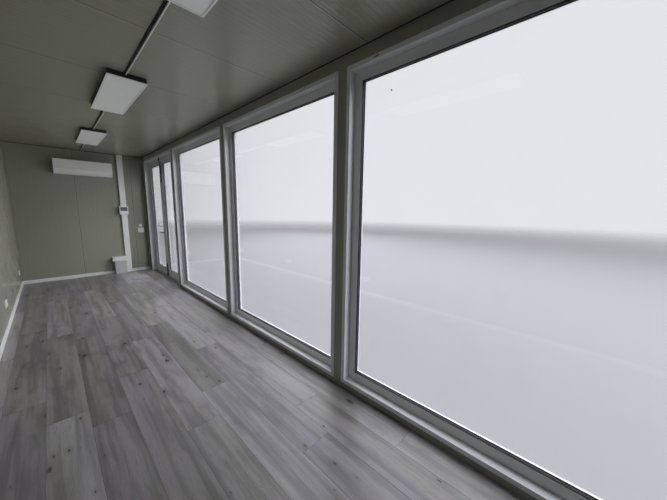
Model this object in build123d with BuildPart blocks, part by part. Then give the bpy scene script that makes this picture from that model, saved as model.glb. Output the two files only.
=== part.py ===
"""Portable site cabin with a glazed front: steel frame, sandwich panel walls and a double glass door.

Millimetres. X runs along the cabin, the glazed front faces -Y, and Z is up from the ground.
The origin is on the ground under the middle of the cabin.
"""
import os
from build123d import *

os.makedirs("parts", exist_ok=True)

# Room
room_width = 2150
room_height = 2700

# Bays of the glazed front: three windows and then the door, from -X to +X
bay_width = 1965
window_count = 3
post_width = 150
corner_width = 224

# Walls
panel_thickness = 50
panel_gap = 1
panel_edge_chamfer = 1.5
front_wall_depth = 130
frame_margin = 10
back_panel_count = 9
end_panel_width = 970
end_joint_from_front = 250

# Steel base
base_height = 160
base_steel = 6
joist_height = 100
joist_flange = 45
joist_steel = 4
joist_count = 16
deck_thickness = 22
covering_thickness = 8

# Columns
front_column_width = 140
front_column_depth = 110
back_column_leg = 110
back_column_steel = 8
column_steel = 6

# Roof
roof_frame_height = 165
fascia_step_height = 60
fascia_overhang = 50
fascia_inset = 35
fascia_steel = 4
roof_panel_width = 978
roof_panel_first = 939
roof_rib_height = 38
roof_rib_pitch = 244.5
roof_rib_base = 64
roof_rib_top = 26

# Lifting eyes
eye_thickness = 15
eye_width = 90
eye_height = 95
eye_hole_radius = 20
eye_inset = 150

# Front beam and sills
header_height = 125
sill_height = 77
section_steel = 3

# Trims that line the openings on the room side
trim_sheet = 3
trim_flange = 33

# Glazing frames
frame_recess = 60
frame_depth = 70
frame_sight = 72
frame_round = 2
frame_slope = 12
glass_depth = 5
pane_thickness = 4
glazing_thickness = 24
rebate_depth = 14
pane_edge_clearance = 3

# Door
door_frame_sight = 62
door_stop_thickness = 12
door_stop_lap = 15
door_clearance = 6
leaf_thickness = 60
leaf_stop_clearance = 5
leaf_bevel = 4
leaf_stile = 115
leaf_top_rail = 60
leaf_bottom_rail = 150
leaf_bead_width = 24
leaf_bead_fall = 4
leaf_glass_depth = 9
threshold_height = 20
threshold_lip = 6
threshold_reach = 20
threshold_slope = 10
threshold_clearance = 8

# Door hinges
hinge_radius = 9
hinge_half_height = 45
hinge_plate_thickness = 6
hinge_plate_reach = 42
hinge_running_gap = 0.3
hinge_offset = 12
hinge_low_inset = 220
hinge_high_inset = 300

# Door lever
lever_height = 990
lever_backset = 65
lever_radius = 9
lever_reach = 116
lever_bend = 16
lever_standoff = 43
spindle_radius = 6
spindle_clearance = 0.5
rose_radius = 24
rose_thickness = 8
rose_clearance = 0.5

# Door bolts
bolt_rod_radius = 6
bolt_rod_offset = 12
bolt_inset = 22
bolt_travel = 30
bolt_tip_clearance = 8
top_bolt_length = 440
bottom_bolt_length = 290
bolt_guide_height = 30
bolt_guide_width = 32
bolt_plate_thickness = 3
bolt_clearance = 0.5
bolt_hole_clearance = 3
bolt_knob_radius = 7
bolt_knob_reach = 16
keeper_depth = 40

# Ceiling lights
light_length = 1200
light_width = 295
light_depth = 50
light_rim = 12
light_rim_lip = 3
light_pitch = 2500
light_shift = 60
light_from_front = 1065
diffuser_thickness = 3

# Trunking
ceiling_trunk_width = 28
ceiling_trunk_depth = 17
wall_trunk_width = 105
wall_trunk_depth = 50
wall_trunk_from_front = 435

# Air conditioner
ac_width = 920
ac_height = 285
ac_depth = 205
ac_from_front = 1060
ac_below_ceiling = 230
ac_slope_run = 85
ac_slope_rise = 70
ac_top_round = 25
ac_front_round = 60
ac_end_round = 8
outlet_depth = 14
vane_width = 56
vane_thickness = 5
vane_sink = 1
vane_gap = 2
vane_shift = 10
vane_end_margin = 35
vane_end_clearance = 0.3

# Control box
control_width = 162
control_height = 185
control_depth = 75
control_bottom = 1366
control_from_front = 447
control_round = 6
control_window_border = 16
control_window_height = 88
control_window_thickness = 5

# Floor box
floor_box_width = 220
floor_box_height = 305
floor_box_depth = 150
floor_box_taper = 8
floor_box_from_front = 600
floor_rib_count = 9
floor_rib_width = 8
floor_rib_depth = 4
lid_width = 262
lid_height = 85
lid_depth = 170
lid_round = 8
lid_rim_height = 22
lid_rim_inset = 5

# Switch, sensor and sockets
switch_size = 114
plate_thickness = 9
plate_round = 6
rocker_margin = 20
rocker_rise = 4
switch_from_front = 133
switch_bottom = 932
sensor_size = 60
sensor_above_switch = 25
socket_width = 160
socket_height = 84
socket_well_radius = 20
socket_well_depth = 6
socket_bottom = 260
socket_count = 3
socket_pitch = 2330
socket_from_end = 390

# Skirting and corner trims
skirting_height = 65
skirting_thickness = 12
skirting_bevel = 5
corner_trim_leg = 30
corner_trim_thickness = 2

# Places worked out from the sizes above
bay_pitch = bay_width + post_width
room_length = (window_count + 1) * bay_width + window_count * post_width + 2 * corner_width
outer_length = room_length + 2 * (panel_thickness + frame_margin)
outer_width = room_width + front_wall_depth + panel_thickness + 2 * frame_margin
end_x = room_length / 2
frame_end_x = outer_length / 2
front_y = -outer_width / 2
back_y = outer_width / 2
room_front_y = front_y + frame_margin + front_wall_depth
room_back_y = back_y - frame_margin - panel_thickness
floor_z = base_height + covering_thickness
ceiling_z = floor_z + room_height
roof_top_z = ceiling_z + roof_frame_height
bays_end_x = end_x - corner_width
header_z = ceiling_z - header_height
sill_z = floor_z + sill_height
frame_face_y = room_front_y - frame_recess
frame_back_y = frame_face_y - frame_depth
door_low_x = bays_end_x - bay_width
door_mid_x = bays_end_x - bay_width / 2
leaf_face_y = frame_face_y - door_stop_thickness - leaf_stop_clearance
leaf_back_y = leaf_face_y - leaf_thickness
leaf_low_z = floor_z + threshold_height + threshold_clearance
leaf_high_z = header_z - door_frame_sight - door_clearance
hinge_y = leaf_back_y - hinge_offset
leaf_edge_left = door_low_x + door_frame_sight + door_clearance
leaf_edge_right = bays_end_x - door_frame_sight - door_clearance
leaf_width = (leaf_edge_right - leaf_edge_left - door_clearance) / 2


def save(piece, name):
    """Label a finished piece and write it as its own file."""
    piece.part.label = name
    export_step(piece.part, "parts/" + name + ".step")


def block(low, high, mode=Mode.ADD):
    """Extrude a rectangle up between two opposite corners, in the part that is being built."""
    with BuildSketch(Plane.XY.offset(low[2])) as outline:
        with Locations(((low[0] + high[0]) / 2, (low[1] + high[1]) / 2)):
            Rectangle(high[0] - low[0], high[1] - low[1])
    extrude(outline.sketch, amount=high[2] - low[2], mode=mode)


def tube_up(low, high, wall):
    """Upright hollow section between two opposite corners."""
    block(low, high)
    block((low[0] + wall, low[1] + wall, low[2]), (high[0] - wall, high[1] - wall, high[2]), Mode.SUBTRACT)


def tube_along_x(low, high, wall):
    """Hollow section that lies along the cabin between two opposite corners."""
    block(low, high)
    block((low[0], low[1] + wall, low[2] + wall), (high[0], high[1] - wall, high[2] - wall), Mode.SUBTRACT)


def run_along_x(points, low_x, high_x, mode=Mode.ADD):
    """Extrude a closed outline of (y, z) points along the cabin."""
    with BuildSketch(Plane.YZ.offset(low_x)) as outline:
        with BuildLine():
            Polyline(*points, close=True)
        make_face()
    extrude(outline.sketch, amount=high_x - low_x, mode=mode)


def run_along_y(points, low_y, high_y, mode=Mode.ADD):
    """Extrude a closed outline of (x, z) points across the cabin."""
    with BuildSketch(Plane.XZ.offset(-high_y)) as outline:
        with BuildLine():
            Polyline(*points, close=True)
        make_face()
    extrude(outline.sketch, amount=high_y - low_y, mode=mode)


def channel(web, tip, low_z, high_z, steel):
    """Outline of a channel that stands on its flange, with its web at one side and open at the other."""
    inner = web + steel if tip > web else web - steel
    return (
        (web, low_z),
        (tip, low_z),
        (tip, low_z + steel),
        (inner, low_z + steel),
        (inner, high_z - steel),
        (tip, high_z - steel),
        (tip, high_z),
        (web, high_z),
    )


def ring_frame(outline, centre_x, face_y, low_z, width, height):
    """Sweep a frame section round an upright rectangle, with mitred corners.

    The section's points are (inwards from the outer edge, outwards from the room face).
    """
    left = centre_x - width / 2
    right = centre_x + width / 2
    high_z = low_z + height
    with BuildLine() as path:
        Polyline(
            (centre_x, face_y, low_z),
            (right, face_y, low_z),
            (right, face_y, high_z),
            (left, face_y, high_z),
            (left, face_y, low_z),
            close=True,
        )
    with BuildSketch(Plane(origin=(centre_x, face_y, low_z), x_dir=(0, 0, 1), z_dir=(1, 0, 0))) as section:
        with BuildLine():
            Polyline(*outline, close=True)
        make_face()
    sweep(section.sketch, path=path.wire(), transition=Transition.RIGHT)


# Base beams
with BuildPart() as base_side_beams:
    run_along_x(
        channel(front_y, room_front_y, 0, base_height, base_steel),
        front_column_width - frame_end_x,
        frame_end_x - front_column_width,
    )
    run_along_x(
        channel(back_y, room_back_y, 0, base_height, base_steel),
        front_column_width - frame_end_x,
        frame_end_x - front_column_width,
    )
save(base_side_beams, "base_side_beams")

with BuildPart() as base_end_beams:
    for side in (-1, 1):
        run_along_y(
            channel(side * frame_end_x, side * end_x, 0, base_height, base_steel),
            room_front_y,
            room_back_y,
        )
save(base_end_beams, "base_end_beams")

with BuildPart() as base_corner_blocks:
    for low_x in (-frame_end_x, frame_end_x - front_column_width):
        for low_y, high_y in ((front_y, room_front_y), (room_back_y, back_y)):
            block((low_x, low_y, 0), (low_x + front_column_width, high_y, base_height))
save(base_corner_blocks, "base_corner_blocks")

# Floor joists run from web to web and carry the deck, which is flush with the frame
joist_top = base_height - deck_thickness
joist_low_x = front_column_width - frame_end_x
joist_span = -2 * joist_low_x - joist_flange
with BuildPart() as floor_joists:
    for step in range(joist_count):
        web_x = joist_low_x + joist_span * step / (joist_count - 1)
        run_along_y(
            channel(web_x, web_x + joist_flange, joist_top - joist_height, joist_top, joist_steel),
            front_y + base_steel,
            back_y - base_steel,
        )
save(floor_joists, "floor_joists")

with BuildPart() as floor_deck:
    block((-end_x, room_front_y, joist_top), (end_x, room_back_y, base_height))
save(floor_deck, "floor_deck")

# The covering runs into the doorway and stops round the threshold
threshold_low_x = door_low_x + door_frame_sight + door_stop_lap
threshold_high_x = bays_end_x - door_frame_sight - door_stop_lap
threshold_front_y = frame_face_y + threshold_reach
with BuildPart() as floor_planks:
    block((-end_x, room_front_y, base_height), (end_x, room_back_y, floor_z))
    block((door_low_x, frame_face_y, base_height), (bays_end_x, room_front_y, floor_z))
    block(
        (threshold_low_x, frame_face_y, base_height),
        (threshold_high_x, threshold_front_y, floor_z),
        Mode.SUBTRACT,
    )
save(floor_planks, "floor_planks")

# Columns
with BuildPart() as front_columns:
    for low_x in (-frame_end_x, frame_end_x - front_column_width):
        tube_up(
            (low_x, front_y, base_height),
            (low_x + front_column_width, front_y + front_column_depth, ceiling_z),
            column_steel,
        )
save(front_columns, "front_columns")

with BuildPart() as back_columns:
    for side in (-1, 1):
        with BuildSketch(Plane.XY.offset(base_height)):
            with BuildLine():
                Polyline(
                    (side * frame_end_x, back_y),
                    (side * (frame_end_x - back_column_leg), back_y),
                    (side * (frame_end_x - back_column_leg), back_y - back_column_steel),
                    (side * (frame_end_x - back_column_steel), back_y - back_column_steel),
                    (side * (frame_end_x - back_column_steel), back_y - back_column_leg),
                    (side * frame_end_x, back_y - back_column_leg),
                    close=True,
                )
            make_face()
        extrude(amount=ceiling_z - base_height)
save(back_columns, "back_columns")


def fascia_outline(outer, inward):
    """Stepped hollow fascia: its lower band is flush with the columns and its upper band stands out.

    The points are (distance across, height), with inward as +1 or -1 towards the middle of the cabin.
    """
    step_z = ceiling_z + fascia_step_height
    inner = outer + inward * fascia_inset
    lip = outer - inward * fascia_overhang
    return (
        (outer, ceiling_z),
        (inner, ceiling_z),
        (inner, roof_top_z),
        (lip, roof_top_z),
        (lip, step_z),
        (outer, step_z),
    )


def fascia_cavity(outer, inward):
    """The space inside the fascia's sheet steel."""
    step_z = ceiling_z + fascia_step_height
    inner = outer + inward * (fascia_inset - fascia_steel)
    shell = outer + inward * fascia_steel
    lip = outer - inward * (fascia_overhang - fascia_steel)
    return (
        (shell, ceiling_z + fascia_steel),
        (inner, ceiling_z + fascia_steel),
        (inner, roof_top_z - fascia_steel),
        (lip, roof_top_z - fascia_steel),
        (lip, step_z + fascia_steel),
        (shell, step_z + fascia_steel),
    )


# Roof frame: side and end beams meet on mitres at the corners
roof_reach_x = frame_end_x + fascia_overhang
roof_reach_y = back_y + fascia_overhang
corner_x = frame_end_x - back_y
with BuildPart() as roof_side_beams:
    for side in (-1, 1):
        run_along_x(fascia_outline(side * back_y, -side), -roof_reach_x, roof_reach_x)
        run_along_x(fascia_cavity(side * back_y, -side), -roof_reach_x, roof_reach_x, Mode.SUBTRACT)
    for side in (-1, 1):
        with BuildSketch(Plane.XY.offset(ceiling_z)):
            with BuildLine():
                Polyline(
                    (side * corner_x, 0),
                    (side * (roof_reach_x + fascia_overhang), roof_reach_y + fascia_overhang),
                    (side * (roof_reach_x + fascia_overhang), -roof_reach_y - fascia_overhang),
                    close=True,
                )
            make_face()
        extrude(amount=roof_frame_height, mode=Mode.SUBTRACT)
save(roof_side_beams, "roof_side_beams")

with BuildPart() as roof_end_beams:
    for side in (-1, 1):
        run_along_y(fascia_outline(side * frame_end_x, -side), -roof_reach_y, roof_reach_y)
        run_along_y(fascia_cavity(side * frame_end_x, -side), -roof_reach_y, roof_reach_y, Mode.SUBTRACT)
    with BuildSketch(Plane.XY.offset(ceiling_z)):
        for side in (-1, 1):
            with BuildLine():
                Polyline(
                    (corner_x, 0),
                    (-corner_x, 0),
                    (-roof_reach_x - fascia_overhang, side * (roof_reach_y + fascia_overhang)),
                    (roof_reach_x + fascia_overhang, side * (roof_reach_y + fascia_overhang)),
                    close=True,
                )
            make_face()
    extrude(amount=roof_frame_height, mode=Mode.SUBTRACT)
save(roof_end_beams, "roof_end_beams")

# Lifting eyes stand on the side beams near the corners
with BuildPart() as lifting_eyes:
    for side in (-1, 1):
        eye_y = side * (back_y - fascia_inset / 2)
        with BuildSketch(Plane.XZ.offset(-eye_y - eye_thickness / 2)):
            for end in (-1, 1):
                with Locations((end * (frame_end_x - eye_inset), roof_top_z + eye_height / 2)):
                    Rectangle(eye_width, eye_height)
            fillet(vertices().group_by(Axis.Z)[-1], radius=eye_width / 3)
            with Locations(
                (frame_end_x - eye_inset, roof_top_z + eye_height / 2),
                (eye_inset - frame_end_x, roof_top_z + eye_height / 2),
            ):
                Circle(eye_hole_radius, mode=Mode.SUBTRACT)
        extrude(amount=eye_thickness)
save(lifting_eyes, "lifting_eyes")


def panel_row(start, stop, width, first):
    """Edges of the panels in a row: the first panel has its own width and the last is cut to fit."""
    edges = [start]
    place = start + first
    while place < stop - panel_gap:
        edges.append(place)
        place += width
    edges.append(stop)
    return [(low, high - (panel_gap if high < stop else 0)) for low, high in zip(edges, edges[1:])]


# Back wall, in panels of equal width
back_run = 2 * (frame_end_x - frame_margin)
with BuildPart() as back_wall:
    for low_x, high_x in panel_row(
        frame_margin - frame_end_x,
        frame_end_x - frame_margin,
        back_run / back_panel_count,
        back_run / back_panel_count,
    ):
        block((low_x, room_back_y, base_height), (high_x, back_y - frame_margin, ceiling_z))
    chamfer(back_wall.edges().filter_by(Axis.Z), length=panel_edge_chamfer)
save(back_wall, "back_wall")

# End walls, with joints where the first narrow panel at the front puts them
column_back_y = front_y + front_column_depth
end_panels = panel_row(
    column_back_y,
    room_back_y,
    end_panel_width,
    room_front_y + end_joint_from_front - column_back_y,
)
for name, low_x in (("door_end_wall", end_x), ("plain_end_wall", -end_x - panel_thickness)):
    with BuildPart() as end_wall:
        for low_y, high_y in end_panels:
            block((low_x, low_y, base_height), (low_x + panel_thickness, high_y, ceiling_z))
        chamfer(end_wall.edges().filter_by(Axis.Z), length=panel_edge_chamfer)
    save(end_wall, name)

# Roof panels: a flat sheet under the foam is the ceiling, and the sheet over it has ribs across the cabin
panel_low_x = fascia_inset - frame_end_x
panel_high_x = frame_end_x - fascia_inset
panel_reach_y = back_y - fascia_inset
with BuildPart() as roof_panels:
    for near, far in panel_row(-panel_high_x, -panel_low_x, roof_panel_width, roof_panel_first):
        block((-far, -panel_reach_y, ceiling_z), (-near, panel_reach_y, ceiling_z + panel_thickness))
    chamfer(roof_panels.edges().filter_by(Axis.Y), length=panel_edge_chamfer)
    rib_z = ceiling_z + panel_thickness
    for near, far in panel_row(-panel_high_x, -panel_low_x, roof_panel_width, roof_panel_first):
        rib_x = -near - roof_rib_pitch / 2
        while rib_x - roof_rib_base / 2 > -far:
            run_along_y(
                (
                    (rib_x - roof_rib_base / 2, rib_z),
                    (rib_x - roof_rib_top / 2, rib_z + roof_rib_height),
                    (rib_x + roof_rib_top / 2, rib_z + roof_rib_height),
                    (rib_x + roof_rib_base / 2, rib_z),
                ),
                -panel_reach_y,
                panel_reach_y,
            )
            rib_x -= roof_rib_pitch
save(roof_panels, "roof_panels")

# Front wall: end panels wrap the columns, posts stand between the bays, header and sills close them
with BuildPart() as front_end_panels:
    for side in (-1, 1):
        with BuildSketch(Plane.XY.offset(base_height)):
            with BuildLine():
                Polyline(
                    (side * bays_end_x, room_front_y),
                    (side * end_x, room_front_y),
                    (side * end_x, column_back_y),
                    (side * (frame_end_x - front_column_width), column_back_y),
                    (side * (frame_end_x - front_column_width), front_y + frame_margin),
                    (side * bays_end_x, front_y + frame_margin),
                    close=True,
                )
            make_face()
        extrude(amount=ceiling_z - base_height)
save(front_end_panels, "front_end_panels")

with BuildPart() as front_posts:
    for bay in range(window_count):
        post_x = -bays_end_x + bay_width + bay * bay_pitch
        tube_up(
            (post_x, front_y + frame_margin, base_height),
            (post_x + post_width, room_front_y, header_z),
            section_steel,
        )
save(front_posts, "front_posts")

with BuildPart() as front_header:
    tube_along_x(
        (-bays_end_x, front_y + frame_margin, header_z),
        (bays_end_x, room_front_y, ceiling_z),
        section_steel,
    )
save(front_header, "front_header")

with BuildPart() as front_sill:
    for bay in range(window_count):
        low_x = -bays_end_x + bay * bay_pitch
        tube_along_x(
            (low_x, front_y + frame_margin, base_height),
            (low_x + bay_width, room_front_y, sill_z),
            section_steel,
        )
save(front_sill, "front_sill")

# Folded trims: a flange on the room face and a lining back to the frame, round each window and the doorway
trim_section = (
    (trim_sheet - trim_flange, -trim_sheet),
    (trim_sheet, -trim_sheet),
    (trim_sheet, frame_recess),
    (0, frame_recess),
    (0, 0),
    (trim_sheet - trim_flange, 0),
)
with BuildPart() as opening_trims:
    for bay in range(window_count):
        ring_frame(
            trim_section,
            -bays_end_x + bay * bay_pitch + bay_width / 2,
            room_front_y,
            sill_z,
            bay_width,
            header_z - sill_z,
        )
    with BuildLine() as doorway:
        Polyline(
            (door_low_x, room_front_y, floor_z),
            (door_low_x, room_front_y, header_z),
            (bays_end_x, room_front_y, header_z),
            (bays_end_x, room_front_y, floor_z),
        )
    with BuildSketch(Plane(origin=(door_low_x, room_front_y, floor_z), x_dir=(1, 0, 0), z_dir=(0, 0, -1))):
        with BuildLine():
            Polyline(*trim_section, close=True)
        make_face()
    sweep(path=doorway.wire(), transition=Transition.RIGHT)
save(opening_trims, "opening_trims")

# Windows: a frame nearly flush with its glass, and two panes
window_section = (
    (0, 0),
    (frame_sight - frame_round, 0),
    (frame_sight, frame_round),
    (frame_sight, glass_depth),
    (frame_sight - rebate_depth, glass_depth),
    (frame_sight - rebate_depth, glass_depth + glazing_thickness),
    (frame_sight, glass_depth + glazing_thickness),
    (frame_sight, glass_depth + glazing_thickness + frame_round),
    (frame_sight - frame_slope, frame_depth),
    (0, frame_depth),
)


def double_panes(low_x, high_x, low_z, high_z, face_y):
    """Two panes, the first with its room side at face_y."""
    for pane_y in (face_y, face_y - glazing_thickness + pane_thickness):
        block((low_x, pane_y - pane_thickness, low_z), (high_x, pane_y, high_z))


pane_inset = frame_sight - rebate_depth + pane_edge_clearance
for number in range(1, window_count + 1):
    low_x = -bays_end_x + (number - 1) * bay_pitch
    with BuildPart() as window_frame:
        ring_frame(
            window_section,
            low_x + bay_width / 2,
            frame_face_y,
            sill_z,
            bay_width,
            header_z - sill_z,
        )
    save(window_frame, "window_frame_" + str(number))

with BuildPart() as window_glass:
    for bay in range(window_count):
        low_x = -bays_end_x + bay * bay_pitch
        double_panes(
            low_x + pane_inset,
            low_x + bay_width - pane_inset,
            sill_z + pane_inset,
            header_z - pane_inset,
            frame_face_y - glass_depth,
        )
save(window_glass, "window_glass")

# Door frame: its stop laps over the room side of the leaves
with BuildPart() as door_jambs:
    for edge, inward in ((door_low_x, 1), (bays_end_x, -1)):
        with BuildSketch(Plane.XY.offset(base_height)):
            with BuildLine():
                Polyline(
                    (edge, frame_face_y),
                    (edge + inward * (door_frame_sight + door_stop_lap), frame_face_y),
                    (edge + inward * (door_frame_sight + door_stop_lap), frame_face_y - door_stop_thickness),
                    (edge + inward * door_frame_sight, frame_face_y - door_stop_thickness),
                    (edge + inward * door_frame_sight, frame_back_y),
                    (edge, frame_back_y),
                    close=True,
                )
            make_face()
        extrude(amount=header_z - base_height)
save(door_jambs, "door_jambs")

keeper_x = door_mid_x - door_clearance / 2 - bolt_inset
rod_y = leaf_face_y + bolt_rod_offset
keeper_reach = bolt_rod_radius + bolt_hole_clearance
stop_low_z = header_z - door_frame_sight - door_stop_lap
with BuildPart() as door_head:
    run_along_x(
        (
            (frame_face_y, header_z),
            (frame_face_y, stop_low_z),
            (frame_face_y - door_stop_thickness, stop_low_z),
            (frame_face_y - door_stop_thickness, header_z - door_frame_sight),
            (frame_back_y, header_z - door_frame_sight),
            (frame_back_y, header_z),
        ),
        threshold_low_x,
        threshold_high_x,
    )
    block(
        (keeper_x - keeper_reach, rod_y - keeper_reach, stop_low_z),
        (keeper_x + keeper_reach, frame_face_y, stop_low_z + keeper_depth),
        Mode.SUBTRACT,
    )
save(door_head, "door_head")

# Threshold with a sloped edge towards the room and a hole that takes the whole throw of the bottom bolt
threshold_top_z = floor_z + threshold_height
keeper_hole_depth = bolt_travel - bolt_tip_clearance + bolt_hole_clearance
with BuildPart() as door_threshold:
    run_along_x(
        (
            (frame_back_y, base_height),
            (threshold_front_y, base_height),
            (threshold_front_y, floor_z + threshold_lip),
            (threshold_front_y - threshold_slope, threshold_top_z),
            (frame_back_y + threshold_slope, threshold_top_z),
            (frame_back_y, floor_z + threshold_lip),
        ),
        threshold_low_x,
        threshold_high_x,
    )
    with BuildSketch(Plane.XY.offset(threshold_top_z)):
        with Locations((keeper_x, rod_y)):
            Circle(keeper_reach)
    extrude(amount=-keeper_hole_depth, mode=Mode.SUBTRACT)
save(door_threshold, "door_threshold")

# Door leaves: the meeting edges are bevelled so that each swings clear of the other
glass_low_z = leaf_low_z + leaf_bottom_rail
glass_high_z = leaf_high_z - leaf_top_rail
leaf_glass_y = leaf_face_y - leaf_glass_depth
outer_bead_depth = leaf_thickness - leaf_glass_depth - glazing_thickness
leaf_beads = (
    (
        (0, 0),
        (leaf_bead_width, leaf_bead_fall),
        (leaf_bead_width, leaf_glass_depth),
        (0, leaf_glass_depth),
    ),
    (
        (0, leaf_thickness),
        (leaf_bead_width, leaf_thickness - leaf_bead_fall),
        (leaf_bead_width, leaf_thickness - outer_bead_depth),
        (0, leaf_thickness - outer_bead_depth),
    ),
)


def door_leaf(hinge_edge, toward):
    """Leaf from its hinge edge towards the meeting edge, with the opening for its glass."""
    meeting = hinge_edge + toward * leaf_width
    with BuildSketch(Plane.XY.offset(leaf_low_z)) as plan:
        with BuildLine():
            Polyline(
                (hinge_edge, leaf_face_y),
                (meeting - toward * leaf_bevel, leaf_face_y),
                (meeting, leaf_back_y),
                (hinge_edge, leaf_back_y),
                close=True,
            )
        make_face()
    extrude(plan.sketch, amount=leaf_high_z - leaf_low_z)
    bead_edge = leaf_stile - leaf_bead_width
    ends = sorted((hinge_edge + toward * bead_edge, meeting - toward * bead_edge))
    low_z = glass_low_z - leaf_bead_width
    high_z = glass_high_z + leaf_bead_width
    block((ends[0], leaf_back_y, low_z), (ends[1], leaf_face_y, high_z), Mode.SUBTRACT)
    for outline in leaf_beads:
        ring_frame(
            outline,
            (ends[0] + ends[1]) / 2,
            leaf_face_y,
            low_z,
            ends[1] - ends[0],
            high_z - low_z,
        )


lever_x = door_mid_x + door_clearance / 2 + lever_backset
lever_z = floor_z + lever_height
with BuildPart() as door_leaf_left:
    door_leaf(leaf_edge_left, 1)
save(door_leaf_left, "door_leaf_left")

with BuildPart() as door_leaf_right:
    door_leaf(leaf_edge_right, -1)
    with BuildSketch(Plane.XZ.offset(-leaf_face_y)):
        with Locations((lever_x, lever_z)):
            Circle(spindle_radius + spindle_clearance)
    extrude(amount=leaf_thickness, mode=Mode.SUBTRACT)
save(door_leaf_right, "door_leaf_right")

pane_reach = rebate_depth - pane_edge_clearance
for name, hinge_edge, toward in (
    ("door_glass_left", leaf_edge_left, 1),
    ("door_glass_right", leaf_edge_right, -1),
):
    near_x = hinge_edge + toward * (leaf_stile - pane_reach)
    far_x = hinge_edge + toward * (leaf_width - leaf_stile + pane_reach)
    with BuildPart() as door_glass:
        double_panes(
            min(near_x, far_x),
            max(near_x, far_x),
            glass_low_z - pane_reach,
            glass_high_z + pane_reach,
            leaf_glass_y,
        )
    save(door_glass, name)

# Hinges: a lower knuckle on the frame and an upper knuckle on the leaf, outside
hinge_left_x = leaf_edge_left - door_clearance / 2
hinge_right_x = leaf_edge_right + door_clearance / 2
hinge_low_z = leaf_low_z + hinge_low_inset
hinge_high_z = leaf_high_z - hinge_high_inset
hinge_rows = (hinge_low_z, (hinge_low_z + hinge_high_z) / 2, hinge_high_z)


def knuckle(axis_x, low_z, reach, seat_y):
    """One hinge knuckle with its flat plate, which reaches to a face at seat_y."""
    with BuildSketch(Plane.XY.offset(low_z)) as barrel:
        with Locations((axis_x, hinge_y)):
            Circle(hinge_radius)
        plate_y = leaf_back_y - hinge_plate_thickness
        with Locations((axis_x + reach / 2, (seat_y + plate_y) / 2)):
            Rectangle(abs(reach), seat_y - plate_y)
    extrude(barrel.sketch, amount=hinge_half_height)


with BuildPart() as door_hinges_frame:
    for row_z in hinge_rows:
        knuckle(hinge_left_x, row_z, -hinge_plate_reach, frame_back_y)
        knuckle(hinge_right_x, row_z, hinge_plate_reach, frame_back_y)
save(door_hinges_frame, "door_hinges_frame")

for name, axis_x, toward in (
    ("door_hinges_left", hinge_left_x, 1),
    ("door_hinges_right", hinge_right_x, -1),
):
    with BuildPart() as leaf_hinges:
        for row_z in hinge_rows:
            knuckle(
                axis_x,
                row_z + hinge_half_height + hinge_running_gap,
                toward * hinge_plate_reach,
                leaf_back_y,
            )
    save(leaf_hinges, name)

# Lever handle: one spindle through the leaf and, on each side, a round bar bent towards the hinges
with BuildPart() as door_lever:
    with BuildSketch(Plane.XZ.offset(-leaf_face_y - lever_standoff / 2)):
        with Locations((lever_x, lever_z)):
            Circle(spindle_radius)
    extrude(amount=leaf_thickness + lever_standoff)
    for face_y, side in ((leaf_face_y, 1), (leaf_back_y, -1)):
        root_y = face_y + side * (rose_thickness + rose_clearance)
        bar_y = face_y + side * lever_standoff
        with BuildLine(Plane.XY.offset(lever_z)) as bar:
            FilletPolyline(
                (lever_x, root_y),
                (lever_x, bar_y),
                (lever_x + lever_reach, bar_y),
                radius=lever_bend,
            )
        with BuildSketch(Plane(origin=(lever_x, root_y, lever_z), z_dir=(0, side, 0))) as bar_end:
            Circle(lever_radius)
        sweep(bar_end.sketch, path=bar.wire())
save(door_lever, "door_lever")

with BuildPart() as door_lock_plates:
    for plate_y in (leaf_face_y + rose_thickness, leaf_back_y):
        with BuildSketch(Plane.XZ.offset(-plate_y)):
            with Locations((lever_x, lever_z)):
                Circle(rose_radius)
                Circle(spindle_radius + spindle_clearance, mode=Mode.SUBTRACT)
        extrude(amount=rose_thickness)
save(door_lock_plates, "door_lock_plates")

# Bolts on the left leaf, drawn back: each rod has a knob and slides through two guides on a plate
top_bolt_high_z = stop_low_z - bolt_tip_clearance
bottom_bolt_low_z = threshold_top_z + bolt_tip_clearance
rods = (
    ("top_bolt_rod", top_bolt_high_z - top_bolt_length, top_bolt_high_z),
    ("bottom_bolt_rod", bottom_bolt_low_z, bottom_bolt_low_z + bottom_bolt_length),
)
for name, low_z, high_z in rods:
    with BuildPart() as bolt_rod:
        with BuildSketch(Plane.XY.offset(low_z)):
            with Locations((keeper_x, rod_y)):
                Circle(bolt_rod_radius)
        extrude(amount=high_z - low_z)
        with BuildSketch(Plane.XZ.offset(-rod_y - bolt_knob_reach)):
            with Locations((keeper_x, (low_z + high_z) / 2)):
                Circle(bolt_knob_radius)
        extrude(amount=bolt_knob_reach)
    save(bolt_rod, name)

with BuildPart() as bolt_guides:
    for name, low_z, high_z in rods:
        plate_low_z = max(low_z, leaf_low_z) + bolt_travel
        plate_high_z = high_z - bolt_travel
        block(
            (keeper_x - bolt_guide_width / 2, leaf_face_y, plate_low_z),
            (keeper_x + bolt_guide_width / 2, leaf_face_y + bolt_plate_thickness, plate_high_z),
        )
        for guide_z in (plate_low_z, plate_high_z - bolt_guide_height):
            with BuildSketch(Plane.XY.offset(guide_z)):
                with Locations((keeper_x, leaf_face_y + bolt_rod_offset)):
                    Rectangle(bolt_guide_width, 2 * bolt_rod_offset)
                    Circle(bolt_rod_radius + bolt_clearance, mode=Mode.SUBTRACT)
            extrude(amount=bolt_guide_height)
save(bolt_guides, "bolt_guides")

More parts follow.
